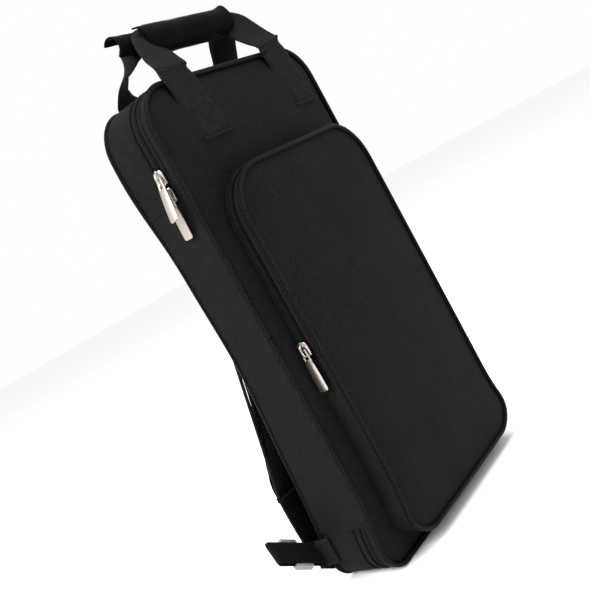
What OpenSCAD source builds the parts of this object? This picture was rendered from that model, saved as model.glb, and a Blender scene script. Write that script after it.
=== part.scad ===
// Drum stick bag: a padded upright bag that opens like a book along its left side, with a zipped
// front pocket, a wrapped double carry handle and two padded shoulder straps on the back.
// X runs to the right, Y to the back, Z up. The origin is in the middle of the flat base.

/* [Bag body] */
// Width of the bag across the front panel
body_w = 256; // [235:1:310]
// Height of the bag standing upright
body_h = 465; // [440:1:560]
// Depth of the bag from the front panel to the back panel
body_d = 62; // [51:1:80]
// Radius of the two upper corners
top_corner_r = 38; // [28:1:46]
// Radius of the two lower corners
bottom_corner_r = 30; // [22:1:36]
// Height of the lower end of the main zipper on the left side
seam_low = 53; // [44:1:64]
// Distance from the top of the bag down to the upper end of the main zipper on the left side
seam_drop = 99; // [94:1:120]

/* [Fabric and padding] */
// Thickness of the woven outer fabric
fabric_t = 1.2; // [0.8:0.1:1.6]
// Thickness of the foam in the two big panels
foam_t = 4; // [2:0.5:6]
// Thickness of the lining
lining_t = 0.6; // [0.4:0.1:1]
// Radius of the piping along the panel edges
piping_r = 2.2; // [1.6:0.1:2.6]
// Clearance between pieces that move past each other
moving_gap = 0.4; // [0.3:0.05:0.5]

/* [Zippers] */
// Distance from the front panel back to the main zipper
zip_setback = 16; // [14:0.5:18]
// Visible width of one tape of a zipper
tape_w = 4.2; // [3.4:0.2:5]
// Thickness of a zipper tape
tape_t = 0.8; // [0.6:0.1:1]
// Width of one row of coil
coil_w = 1.6; // [1.2:0.1:1.8]
// Thickness of the coil
coil_t = 1.8; // [1.4:0.1:2.2]
// Distance from the upper end of the main zipper up to the upper slider
slider_rise = 25; // [23:0.5:28]
// Spacing of the two main sliders
slider_pitch = 16; // [15.2:0.2:18]
// Length of a slider along the zipper
slider_len = 14; // [12:0.5:15]
// Width of a slider
slider_w = 11; // [9:0.5:12]
// Length of a pull below its pivot
pull_len = 39; // [34:1:42]
// Width of a pull
pull_w = 10; // [8:0.5:11]
// Thickness of a pull
pull_t = 1.4; // [1:0.1:1.6]

/* [Front pocket] */
// Distance from the side of the bag to the side of a centred pocket
pocket_side = 18; // [15:1:40]
// Distance from the top of the bag down to the top of the pocket
pocket_drop = 94; // [90:1:130]
// Depth of the pocket in front of the panel
pocket_d = 22; // [19:0.5:30]
// Radius of the upper corners of the pocket
pocket_top_r = 46; // [30:1:52]
// Radius of the lower corners of the pocket
pocket_bottom_r = 34; // [24:1:40]
// Height of the pocket's bottom above the base
pocket_z = 12; // [8:1:16]
// Offset of the pocket's middle from the bag's middle
pocket_shift = 5; // [-6:1:8]
// Height of the pocket flap, from its fold line to the top of the pocket
flap_h = 175; // [150:1:190]
// Distance from the fold line up to the pocket slider
pocket_slider_rise = 12; // [10:1:18]

/* [Carry handle] */
// Width of the handle webbing
handle_web_w = 38; // [28:1:42]
// Thickness of the handle webbing
handle_web_t = 2; // [1.4:0.1:2.4]
// Distance from the side of the bag to the outer edge of the feet of a centred handle
foot_inset = 35; // [28:1:44]
// Offset of the handle's middle from the bag's middle
handle_shift = 13; // [0:1:14]
// Height of the hem at the lower end of a foot, below the top of the bag
foot_drop = 63; // [48:1:80]
// Length of the grip wrap
grip_len = 116; // [100:1:122]
// Outer radius of the grip wrap
grip_r = 13.5; // [13:0.1:16]
// Wall of the grip wrap
grip_wall = 2.3; // [1.6:0.1:2.4]
// Height of the grip's middle above the top of the bag
grip_rise = 46; // [40:1:56]

/* [Shoulder straps] */
// Width of a shoulder pad
pad_w = 58; // [44:1:60]
// Thickness of a shoulder pad
pad_t = 11; // [7:0.5:14]
// Thickness of the narrower tail of a strap
tail_t = 8; // [5:0.5:9]
// Width of the lower end of the tail
tail_end_w = 36; // [30:1:40]
// Distance from the hems of the back handle down to the top of the yoke
yoke_drop = 2; // [1:1:12]
// Height of the seam between pad and tail
pad_low = 92; // [84:1:110]
// Height of the lower end of the tail
tail_low = 38; // [34:1:44]
// Gap between the two pads at their tops
pad_gap = 6; // [4:1:28]
// Distance from the side of the bag to the middle of a pad at its seam
pad_end_inset = 24; // [20:1:34]
// Width of the adjuster webbing
web_w = 25; // [20:1:26]
// Thickness of the adjuster webbing
web_t = 1.6; // [1.2:0.1:1.8]
// Free length of the adjuster webbing beyond the corner tab
web_len = 56; // [52:1:66]
// Rise of the adjuster webbing from the horizontal, in degrees
web_rise = 35; // [30:1:40]
// Length of a tri-glide along the webbing
glide_len = 20; // [16:0.5:22]
// Distance from the corner tab to the middle of the tri-glide
glide_at = 30; // [28:1:34]
// Thickness of each bar of a tri-glide
glide_bar = 1.6; // [1.4:0.1:1.8]

/* [Stick sleeves] */
// Number of sleeves side by side
sleeve_count = 5; // [3:1:6]
// Distance from the side of the bag to the row of sleeves
sleeve_inset = 25; // [20:1:34]
// Clear depth of one sleeve
sleeve_d = 13; // [10:0.5:15]
// Height of the sleeves
sleeve_h = 268; // [200:1:290]
// Height of the bottom seam of the sleeves above the base
sleeve_z = 14; // [8:1:20]
// Thickness of the sleeve cloth
sleeve_t = 1; // [0.6:0.1:1.4]

/* [Hidden] */
$fn = 64;
eps = 0.01;

// Depths are distances behind the front face of the front panel; in front of it they are negative.
cover_coil_back = zip_setback - moving_gap / 2;
cover_tape_back = cover_coil_back - coil_w;
cover_rim_back = cover_tape_back - tape_w;
body_coil_front = zip_setback + moving_gap / 2;
body_tape_front = body_coil_front + coil_w;
body_gusset_front = body_tape_front + tape_w + 2;
// The foam and lining stay clear of the gusset that the cover turns on.
foam_inset = 2 * fabric_t;
// The hinge gusset starts behind the bead that turns beside it.
hinge_gusset_front = piping_r + moving_gap + 0.2;
back_y = body_d / 2;
seam_high = body_h - seam_drop;
upper_slider_z = seam_high + slider_rise;
lower_slider_z = upper_slider_z - slider_pitch;

pocket_w = body_w - 2 * pocket_side;
pocket_top = body_h - pocket_drop;
pocket_h = pocket_top - pocket_z;
pocket_left_x = pocket_shift - pocket_w / 2;
flap_z = pocket_top - flap_h;
flap_low = flap_z + moving_gap;
// Depths of the pocket's layers in front of the panel, counted outwards.
pocket_zip_out = 10.6;
base_coil_out = pocket_zip_out - moving_gap / 2;
base_tape_out = base_coil_out - coil_w;
base_gusset_out = base_tape_out - tape_w;
flap_coil_in = pocket_zip_out + moving_gap / 2;
flap_tape_in = flap_coil_in + coil_w;
flap_rim_in = flap_tape_in + tape_w;
pocket_front_in = pocket_d - fabric_t;

// Slider: a plate on the tape, and a bridge that the pull's pin passes under.
slider_off = 0.3;
slider_t = 2.2;
pin_r = 0.9;
pin_out = slider_off + slider_t + pin_r + 0.5;
bridge_in = pin_out + pin_r + 0.4;
bridge_t = 1.2;
bridge_w = 2.4;
bridge_len = slider_len - 2;
arm_w = 1.3;
arm_y = bridge_w / 2 + 0.5;
arm_len = bridge_len / 2 + 2.4;
// The upper pull leans out until it clears the bridge of the lower slider.
lean_drop = slider_pitch - bridge_len / 2;
lean_out = bridge_in + bridge_t + moving_gap - pin_out;
upper_pull_lean = atan(lean_out / lean_drop) + asin(pull_t / 2 / norm([lean_drop, lean_out]));

// Handle: each webbing is folded into a narrow bar where the grip holds it.
bar_gap = 0.7;
bar_y = 8;
bar_z = 9;
grip_z = body_h + grip_rise;
grip_slot = bar_z + 1;
grip_end_gap = 3.5;
leg_spread = 32;
// The feet stand further apart than the grip is long, so that the legs stay off its ends.
handle_span = max(body_w - 2 * foot_inset - handle_web_w, grip_len + leg_spread);
foot_z = body_h - foot_drop;
flap_clear = 0.4;
flap_wall = 1.4;

// Straps: layers stacked behind the back panel.
web_in_y = back_y + piping_r + moving_gap;
glide_in_y = web_in_y + web_t + 0.3;
web_out_y = glide_in_y + glide_bar + 0.3;
glide_out_y = web_out_y + web_t + 0.3;
strap_y = glide_out_y + glide_bar + moving_gap;
yoke_h = 28;
yoke_top = foot_z - yoke_drop;
strap_top = yoke_top - 4;
pad_top_x = (pad_w + pad_gap) / 2;
pad_sweep = body_w / 2 - pad_end_inset - pad_top_x;
tab_t = 5;
tab_h = 26;
tab_z = 35;

// Stick sleeves hang in front of the back lining.
sleeve_back = body_d - fabric_t - foam_t - lining_t;
sleeve_front = sleeve_back - sleeve_d - sleeve_t;
sleeve_row_w = body_w - 2 * sleeve_inset;
sleeve_rib = 3;
sleeve_pitch = (sleeve_row_w - sleeve_rib) / sleeve_count;
sleeve_w = sleeve_pitch - sleeve_rib;
binding_h = 14;
binding_t = 0.8;

nylon = [0.09, 0.09, 0.1];
webbing_black = [0.12, 0.12, 0.13];
twill = [0.16, 0.16, 0.17];
lining_grey = [0.3, 0.3, 0.32];
foam_grey = [0.6, 0.6, 0.6];
metal = [0.78, 0.74, 0.68];
plastic_grey = [0.4, 0.4, 0.42];

// ---- Helpers. Outlines are drawn lying down: X right, Y up the bag, Z towards the front. ----

module stand() {
    rotate([90, 0, 0]) children();
}

// Extrudes a drawn outline between two depths behind the front face.
module slab(front, back) {
    translate([0, 0, body_d / 2 - back]) linear_extrude(back - front) children();
}

// Rounded rectangle that stands on the X axis and is drawn in by inset.
module rounded_outline(w, h, r_top, r_bottom, inset) {
    wi = w - 2 * inset;
    hi = h - 2 * inset;
    rt = r_top - inset;
    rb = r_bottom - inset;
    translate([0, inset]) {
        translate([-wi / 2 + rb, 0]) square([wi - 2 * rb, hi / 2]);
        translate([-wi / 2 + rt, hi / 2]) square([wi - 2 * rt, hi / 2]);
        translate([-wi / 2, rb]) square([wi, hi - rb - rt]);
        for (side = [-1, 1]) {
            translate([side * (wi / 2 - rt), hi - rt]) circle(rt);
            translate([side * (wi / 2 - rb), rb]) circle(rb);
        }
    }
}

module body_outline(inset) {
    rounded_outline(body_w, body_h, top_corner_r, bottom_corner_r, inset);
}

module pocket_outline(inset) {
    translate([pocket_shift, pocket_z])
        rounded_outline(pocket_w, pocket_h, pocket_top_r, pocket_bottom_r, inset);
}

// Window on the left side between the two ends of the main zipper.
module left_window(extra) {
    translate([-body_w / 2 - 1, seam_low - extra]) square([8, seam_high - seam_low + 2 * extra]);
}

// Wall that follows the body's outline between two insets, open at the left window.
module body_wall(front, back, outer, inner, extra) {
    slab(front, back) difference() {
        body_outline(outer);
        body_outline(inner);
        left_window(extra);
    }
}

// Wall that follows the pocket's outline, kept between two heights.
module pocket_wall(inward, outward, outer, inner, low, high) {
    slab(-outward, -inward) intersection() {
        difference() {
            pocket_outline(outer);
            pocket_outline(inner);
        }
        translate([pocket_left_x - 1, low]) square([pocket_w + 2, high - low]);
    }
}

module half_disc(r) {
    intersection() {
        circle(r);
        translate([-r, 0]) square([2 * r, r]);
    }
}

// Half-round bead along the inside of a rounded outline, rising from the plane it is drawn in.
module bead_loop(w, h, r_top, r_bottom, r) {
    for (side = [-1, 1]) {
        translate([side * (w / 2 - r), h - r_top, 0])
            rotate([90, 0, 0]) linear_extrude(h - r_top - r_bottom) half_disc(r);
        translate([side * (w / 2 - r_top), h - r_top, 0])
            rotate([0, 0, side > 0 ? 0 : 90])
                rotate_extrude(angle = 90) translate([r_top - r, 0]) half_disc(r);
        translate([side * (w / 2 - r_bottom), r_bottom, 0])
            rotate([0, 0, side > 0 ? 270 : 180])
                rotate_extrude(angle = 90) translate([r_bottom - r, 0]) half_disc(r);
    }
    translate([-w / 2 + r_top, h - r, 0])
        rotate([90, 0, 90]) linear_extrude(w - 2 * r_top) half_disc(r);
    translate([-w / 2 + r_bottom, r, 0])
        rotate([90, 0, 90]) linear_extrude(w - 2 * r_bottom) half_disc(r);
}

module pocket_bead(low, high) {
    intersection() {
        translate([pocket_shift, pocket_z, body_d / 2 + pocket_d])
            bead_loop(pocket_w, pocket_h, pocket_top_r, pocket_bottom_r, piping_r);
        translate([pocket_left_x - 1, low, body_d / 2 + pocket_d - 1])
            cube([pocket_w + 2, high - low, piping_r + 2]);
    }
}

// ---- Cover: front panel, its rim and its half of the main zipper ----

module cover_panel() {
    color(nylon) stand() slab(0, fabric_t) body_outline(0);
}

module cover_foam() {
    color(foam_grey) stand() slab(fabric_t, fabric_t + foam_t) body_outline(foam_inset);
}

module cover_lining() {
    color(lining_grey) stand()
        slab(fabric_t + foam_t, fabric_t + foam_t + lining_t) body_outline(foam_inset);
}

module cover_rim() {
    color(nylon) stand() body_wall(fabric_t, cover_rim_back, 0, fabric_t, moving_gap);
}

module cover_zip_tape() {
    color(webbing_black) stand()
        body_wall(cover_rim_back, cover_tape_back, 0.2, 0.2 + tape_t, moving_gap);
}

module cover_zip_coil() {
    color(nylon) stand() body_wall(cover_tape_back, cover_coil_back, 0.1, 0.1 + coil_t, moving_gap);
}

module cover_piping() {
    color(twill) stand() translate([0, 0, body_d / 2])
        bead_loop(body_w, body_h, top_corner_r, bottom_corner_r, piping_r);
}

// ---- Body: back panel, gussets and the other half of the main zipper ----

module body_zip_coil() {
    color(nylon) stand() body_wall(body_coil_front, body_tape_front, 0.1, 0.1 + coil_t, 0);
}

module body_zip_tape() {
    color(webbing_black) stand()
        body_wall(body_tape_front, body_gusset_front, 0.2, 0.2 + tape_t, 0);
}

module body_gusset() {
    color(nylon) stand() body_wall(body_gusset_front, body_d - fabric_t, 0, fabric_t, 0);
}

module hinge_gusset() {
    color(nylon) stand() slab(hinge_gusset_front, body_d - fabric_t)
        translate([-body_w / 2, seam_low]) square([fabric_t, seam_high - seam_low]);
}

module back_panel() {
    color(nylon) stand() slab(body_d - fabric_t, body_d) body_outline(0);
}

module back_foam() {
    color(foam_grey) stand()
        slab(body_d - fabric_t - foam_t, body_d - fabric_t) body_outline(foam_inset);
}

module back_lining() {
    color(lining_grey) stand() slab(sleeve_back, sleeve_back + lining_t) body_outline(foam_inset);
}

module back_piping() {
    color(twill) stand() translate([0, 0, -body_d / 2]) mirror([0, 0, 1])
        bead_loop(body_w, body_h, top_corner_r, bottom_corner_r, piping_r);
}

// Row of sleeves, open at the top and towards the lining that it is sewn to.
module stick_sleeves() {
    color(lining_grey) translate([0, sleeve_back - back_y, sleeve_z]) mirror([0, 1, 0]) difference() {
        translate([-sleeve_row_w / 2, 0, 0]) cube([sleeve_row_w, sleeve_d + sleeve_t, sleeve_h]);
        for (i = [0 : sleeve_count - 1])
            translate([(i - (sleeve_count - 1) / 2) * sleeve_pitch - sleeve_w / 2, -1, sleeve_t])
                cube([sleeve_w, sleeve_d + 1, sleeve_h]);
    }
}

module sleeve_binding() {
    color(webbing_black)
        translate([-sleeve_row_w / 2, sleeve_front - binding_t - back_y, sleeve_z + sleeve_h - binding_h])
            cube([sleeve_row_w, binding_t, binding_h]);
}

// ---- Front pocket: the lower half is fixed, the upper half folds down as a flap ----

module pocket_gusset() {
    color(nylon) stand() union() {
        pocket_wall(0, base_gusset_out, 0, fabric_t, 0, body_h);
        pocket_wall(base_gusset_out - eps, pocket_front_in, 0, fabric_t, 0, flap_z);
    }
}

module pocket_zip_tape() {
    color(webbing_black) stand()
        pocket_wall(base_gusset_out, base_tape_out, 0.2, 0.2 + tape_t, flap_z, body_h);
}

module pocket_zip_coil() {
    color(nylon) stand()
        pocket_wall(base_tape_out, base_coil_out, 0.1, 0.1 + coil_t, flap_z, body_h);
}

module pocket_lower_panel() {
    color(nylon) stand() slab(-pocket_d, -pocket_front_in) intersection() {
        pocket_outline(0);
        translate([pocket_left_x, 0]) square([pocket_w, flap_z]);
    }
}

module pocket_lower_piping() {
    color(twill) stand() pocket_bead(0, flap_z);
}

module flap_zip_coil() {
    color(nylon) stand() pocket_wall(flap_coil_in, flap_tape_in, 0.1, 0.1 + coil_t, flap_low, body_h);
}

module flap_zip_tape() {
    color(webbing_black) stand()
        pocket_wall(flap_tape_in, flap_rim_in, 0.2, 0.2 + tape_t, flap_low, body_h);
}

module flap_rim() {
    color(nylon) stand() pocket_wall(flap_rim_in, pocket_front_in, 0, fabric_t, flap_low, body_h);
}

module flap_panel() {
    color(nylon) stand() slab(-pocket_d, -pocket_front_in) intersection() {
        pocket_outline(0);
        translate([pocket_left_x, flap_low]) square([pocket_w, body_h]);
    }
}

module flap_piping() {
    color(twill) stand() pocket_bead(flap_low, body_h);
}

// ---- Carry handle ----

// One handle: two feet sewn to the panel, two legs and the bar between them. Built on the front;
// the back one is its mirror image.
module handle() {
    panel_y = -body_d / 2;
    over_bead = panel_y - piping_r - moving_gap - handle_web_t;
    // The webbing leaves the panel below the place where its outer edge meets the bead.
    bead_r = top_corner_r - 2 * piping_r;
    past_corner = max(0, handle_shift + (handle_span + handle_web_w) / 2 - body_w / 2 + top_corner_r);
    bead_drop = top_corner_r - sqrt(max(0, pow(bead_r, 2) - pow(past_corner, 2)));
    bend_low = body_h - bead_drop - 6;
    bend_high = bend_low + 8.5;
    bar_x = grip_len / 2 + grip_end_gap;
    for (side = [-1, 1]) {
        foot_x = side * handle_span / 2 - handle_web_w / 2;
        translate([foot_x, panel_y - handle_web_t, foot_z])
            cube([handle_web_w, handle_web_t, bend_low - foot_z]);
        hull() {
            translate([foot_x, panel_y - handle_web_t, bend_low - 1])
                cube([handle_web_w, handle_web_t, 1]);
            translate([foot_x, over_bead, bend_high]) cube([handle_web_w, handle_web_t, 1]);
        }
        translate([foot_x, over_bead, bend_high])
            cube([handle_web_w, handle_web_t, body_h + 3 - bend_high]);
        hull() {
            translate([foot_x, over_bead, body_h + 2]) cube([handle_web_w, handle_web_t, 1]);
            translate([side * (bar_x + 3) - 3, -bar_gap - bar_y, grip_z - bar_z / 2])
                cube([6, bar_y, bar_z]);
        }
    }
    translate([-bar_x - 1, -bar_gap - bar_y, grip_z - bar_z / 2]) cube([2 * bar_x + 2, bar_y, bar_z]);
}

module front_handle() {
    color(webbing_black) translate([handle_shift, 0, 0]) handle();
}

module back_handle() {
    color(webbing_black) translate([handle_shift, 0, 0]) mirror([0, 1, 0]) handle();
}

// The wrap is open towards the back at the level of the back handle's bar.
module grip_wrap() {
    color(nylon) translate([handle_shift - grip_len / 2, 0, grip_z])
        rotate([90, 0, 90]) linear_extrude(grip_len) difference() {
            circle(grip_r);
            circle(grip_r - grip_wall);
            translate([0, -grip_slot / 2]) square([2 * grip_r, grip_slot]);
        }
}

// Closing flap over the front half of the wrap, from the top down to the underside.
module grip_flap() {
    inner = grip_r + flap_clear;
    outer = inner + flap_wall;
    color(webbing_black) translate([handle_shift - grip_len / 2, 0, grip_z])
        rotate([90, 0, 90]) linear_extrude(grip_len) difference() {
            circle(outer);
            circle(inner);
            translate([0, -2 * outer]) square([2 * outer, 4 * outer]);
            translate([-0.35 * outer, -2 * outer]) square([2 * outer, 2 * outer]);
        }
}

// ---- Sliders and pulls. Drawn with the tape at X = 0 and the outside towards -X. ----

module slider() {
    translate([-slider_off - slider_t, -slider_w / 2, -slider_len / 2])
        cube([slider_t, slider_w, slider_len]);
    translate([-bridge_in - bridge_t, -bridge_w / 2, -bridge_len / 2])
        cube([bridge_t, bridge_w, bridge_len]);
    for (side = [-1, 1])
        translate([-bridge_in - eps, -bridge_w / 2, side * (bridge_len / 2 - bridge_t / 2) - bridge_t / 2])
            cube([bridge_in - slider_off - slider_t + 2 * eps, bridge_w, bridge_t]);
}

// Pull hanging from its pin, which lies under the slider's bridge.
module pull() {
    rotate([90, 0, 0]) cylinder(r = pin_r, h = 2 * (arm_y + arm_w), center = true);
    for (side = [-1, 1])
        translate([-pull_t / 2, side * (arm_y + arm_w / 2) - arm_w / 2, -arm_len - 1])
            cube([pull_t, arm_w, arm_len + 1]);
    translate([-pull_t / 2, 0, 0]) rotate([90, 0, 90]) linear_extrude(pull_t) union() {
        translate([-pull_w / 2, -pull_len + pull_w / 2]) square([pull_w, pull_len - arm_len - pull_w / 2]);
        translate([0, -pull_len + pull_w / 2]) circle(pull_w / 2);
    }
}

module at_main_zip(z) {
    translate([-body_w / 2, -body_d / 2 + zip_setback, z]) children();
}

module at_pocket_zip() {
    translate([pocket_left_x, -body_d / 2 - pocket_zip_out, flap_z + pocket_slider_rise]) children();
}

module upper_slider() {
    color(metal) at_main_zip(upper_slider_z) slider();
}

module lower_slider() {
    color(metal) at_main_zip(lower_slider_z) slider();
}

module pocket_slider() {
    color(metal) at_pocket_zip() slider();
}

module upper_pull() {
    color(metal) at_main_zip(upper_slider_z) translate([-pin_out, 0, 0])
        rotate([0, upper_pull_lean, 0]) pull();
}

module lower_pull() {
    color(metal) at_main_zip(lower_slider_z) translate([-pin_out, 0, 0]) pull();
}

module pocket_pull() {
    color(metal) at_pocket_zip() translate([-pin_out, 0, 0]) pull();
}

// ---- Shoulder straps. Drawn for the left side; the right side is the mirror image. ----

module strap_yoke() {
    yoke_w = 2 * pad_top_x + pad_w + 8;
    color(webbing_black) translate([-yoke_w / 2, back_y, yoke_top - yoke_h])
        cube([yoke_w, strap_y - moving_gap - back_y, yoke_h]);
}

// Middle line of the left pad at a fraction of its length, counted from the top.
function pad_x(t) = -pad_top_x - pad_sweep * pow(t, 1.6);
function pad_height(t) = strap_top - (strap_top - pad_low) * t;
pad_steps = 14;

module strap_pad() {
    left = [for (i = [0 : pad_steps]) [pad_x(i / pad_steps) - pad_w / 2, pad_height(i / pad_steps)]];
    right = [for (i = [pad_steps : -1 : 0])
        [pad_x(i / pad_steps) + pad_w / 2, pad_height(i / pad_steps)]];
    translate([0, strap_y + pad_t, 0]) stand() linear_extrude(pad_t) polygon(concat(left, right));
}

module strap_tail() {
    top_x = pad_x(1);
    end_x = top_x - 12;
    translate([0, strap_y + tail_t, 0]) stand() linear_extrude(tail_t) polygon([
        [top_x - pad_w / 2, pad_low],
        [end_x - tail_end_w / 2, tail_low],
        [end_x + tail_end_w / 2, tail_low],
        [top_x + pad_w / 2, pad_low]
    ]);
}

// Places a piece of the adjuster: local X runs along the webbing, from the corner tab outwards.
module along_webbing() {
    translate([-body_w / 2 - tab_t, 0, tab_z]) rotate([0, web_rise, 0]) mirror([1, 0, 0]) children();
}

module webbing() {
    ring_r = (web_out_y + web_t - web_in_y) / 2;
    straight = web_len - ring_r;
    reach = 40;
    difference() {
        along_webbing() translate([0, 0, -web_w / 2]) linear_extrude(web_w) union() {
            translate([-reach, web_in_y]) square([straight + reach, web_t]);
            translate([-reach / 2, web_out_y]) square([straight + reach / 2, web_t]);
            translate([straight, web_in_y + ring_r]) difference() {
                circle(ring_r);
                circle(ring_r - web_t);
                translate([-2 * ring_r, -2 * ring_r]) square([2 * ring_r, 4 * ring_r]);
            }
        }
        translate([-body_w / 2 - tab_t, back_y - 1, -reach])
            cube([4 * reach, glide_in_y - back_y + 1, body_h / 2]);
    }
}

module tri_glide() {
    slot = web_w + 1.4;
    rail = 3;
    along_webbing() translate([glide_at - glide_len / 2, 0, 0]) {
        for (side = [-1, 1])
            translate([0, glide_in_y, side * (slot + rail) / 2 - rail / 2])
                cube([glide_len, glide_out_y + glide_bar - glide_in_y, rail]);
        for (at = [0, glide_len - rail])
            translate([at, glide_out_y, -slot / 2 - eps]) cube([rail, glide_bar, slot + 2 * eps]);
        translate([glide_len / 2 - 2, glide_in_y, -slot / 2 - eps])
            cube([4, glide_bar, slot + 2 * eps]);
    }
}

module corner_tab() {
    translate([-body_w / 2 - tab_t, back_y - 10, tab_z - tab_h / 2])
        cube([tab_t, web_in_y + web_t - back_y + 10, tab_h]);
}

module left_strap_pad() {
    color(nylon) strap_pad();
}

module right_strap_pad() {
    color(nylon) mirror([1, 0, 0]) strap_pad();
}

module left_strap_tail() {
    color(nylon) strap_tail();
}

module right_strap_tail() {
    color(nylon) mirror([1, 0, 0]) strap_tail();
}

module left_webbing() {
    color(webbing_black) webbing();
}

module right_webbing() {
    color(webbing_black) mirror([1, 0, 0]) webbing();
}

module left_tri_glide() {
    color(plastic_grey) tri_glide();
}

module right_tri_glide() {
    color(plastic_grey) mirror([1, 0, 0]) tri_glide();
}

module left_corner_tab() {
    color(webbing_black) corner_tab();
}

module right_corner_tab() {
    color(webbing_black) mirror([1, 0, 0]) corner_tab();
}

cover_panel();
cover_foam();
cover_lining();
cover_rim();
cover_zip_tape();
cover_zip_coil();
cover_piping();
body_zip_coil();
body_zip_tape();
body_gusset();
hinge_gusset();
back_panel();
back_foam();
back_lining();
back_piping();
stick_sleeves();
sleeve_binding();
pocket_gusset();
pocket_zip_tape();
pocket_zip_coil();
pocket_lower_panel();
pocket_lower_piping();
flap_zip_coil();
flap_zip_tape();
flap_rim();
flap_panel();
flap_piping();
front_handle();
back_handle();
grip_wrap();
grip_flap();
upper_slider();
lower_slider();
pocket_slider();
upper_pull();
lower_pull();
pocket_pull();
strap_yoke();
left_strap_pad();
right_strap_pad();
left_strap_tail();
right_strap_tail();
left_webbing();
right_webbing();
left_tri_glide();
right_tri_glide();
left_corner_tab();
right_corner_tab();
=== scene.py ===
"""Looks of a padded drum stick bag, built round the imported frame.

Sizes are in millimetres unless a name says otherwise; meshes are written in metres.
X runs to the right, Y to the back and Z up; the bag stands on Z = 0.
"""

from __future__ import annotations

import logging
import math
from dataclasses import dataclass, field
from enum import Enum
from typing import Callable, Iterable, Sequence

import bmesh
import bpy
import numpy as np
from mathutils import Matrix, Vector, noise


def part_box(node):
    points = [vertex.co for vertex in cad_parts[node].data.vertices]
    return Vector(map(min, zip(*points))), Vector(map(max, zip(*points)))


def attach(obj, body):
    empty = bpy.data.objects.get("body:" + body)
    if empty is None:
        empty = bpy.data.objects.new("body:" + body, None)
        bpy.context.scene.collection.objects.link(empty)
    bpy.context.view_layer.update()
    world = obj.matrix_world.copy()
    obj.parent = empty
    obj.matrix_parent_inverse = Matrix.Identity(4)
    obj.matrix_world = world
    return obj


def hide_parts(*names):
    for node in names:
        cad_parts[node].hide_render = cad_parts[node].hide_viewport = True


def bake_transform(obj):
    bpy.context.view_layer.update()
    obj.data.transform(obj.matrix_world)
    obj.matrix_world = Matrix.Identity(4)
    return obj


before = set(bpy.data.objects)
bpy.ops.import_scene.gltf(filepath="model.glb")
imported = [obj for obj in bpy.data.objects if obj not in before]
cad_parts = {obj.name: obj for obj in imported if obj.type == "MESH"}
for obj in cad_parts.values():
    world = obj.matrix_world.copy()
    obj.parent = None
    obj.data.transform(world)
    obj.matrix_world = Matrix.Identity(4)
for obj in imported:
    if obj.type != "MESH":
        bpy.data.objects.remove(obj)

MM = 0.001
LOG = logging.getLogger("stick_bag")


# --- frame sizes


def box_mm(node: str) -> tuple[np.ndarray, np.ndarray]:
    """Corners of a frame node in millimetres.

    Args:
        node: Name of the node.

    Returns:
        Its lowest and its highest corner.
    """
    low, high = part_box(node)
    return np.array(low) / MM, np.array(high) / MM


class Side(Enum):
    """Left or right half of the bag."""

    LEFT = -1
    RIGHT = 1


@dataclass(frozen=True)
class BagSizes:
    """Main sizes, read from the frame."""

    width: float
    height: float
    front: float
    back: float
    seam_low: float
    seam_high: float
    zip_y: float
    top_r: float = 38.0
    bottom_r: float = 21.0
    piping_r: float = 2.3

    @classmethod
    def from_frame(cls) -> "BagSizes":
        """Reads the sizes from the frame's own nodes."""
        panel_low, panel_high = box_mm("cover_panel")
        _, back_high = box_mm("back_panel")
        hinge_low, hinge_high = box_mm("hinge_gusset")
        _, coil_high = box_mm("cover_zip_coil")
        return cls(
            width=float(panel_high[0] - panel_low[0]),
            height=float(panel_high[2]),
            front=float(panel_low[1]),
            back=float(back_high[1]),
            seam_low=float(hinge_low[2]),
            seam_high=float(hinge_high[2]),
            zip_y=float(coil_high[1]) + 0.2,
        )


def hump(values: np.ndarray, at: float, reach: float) -> np.ndarray:
    """Smooth bump of height 1 round a value."""
    return np.exp(-(((values - at) / reach) ** 2))


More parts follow.
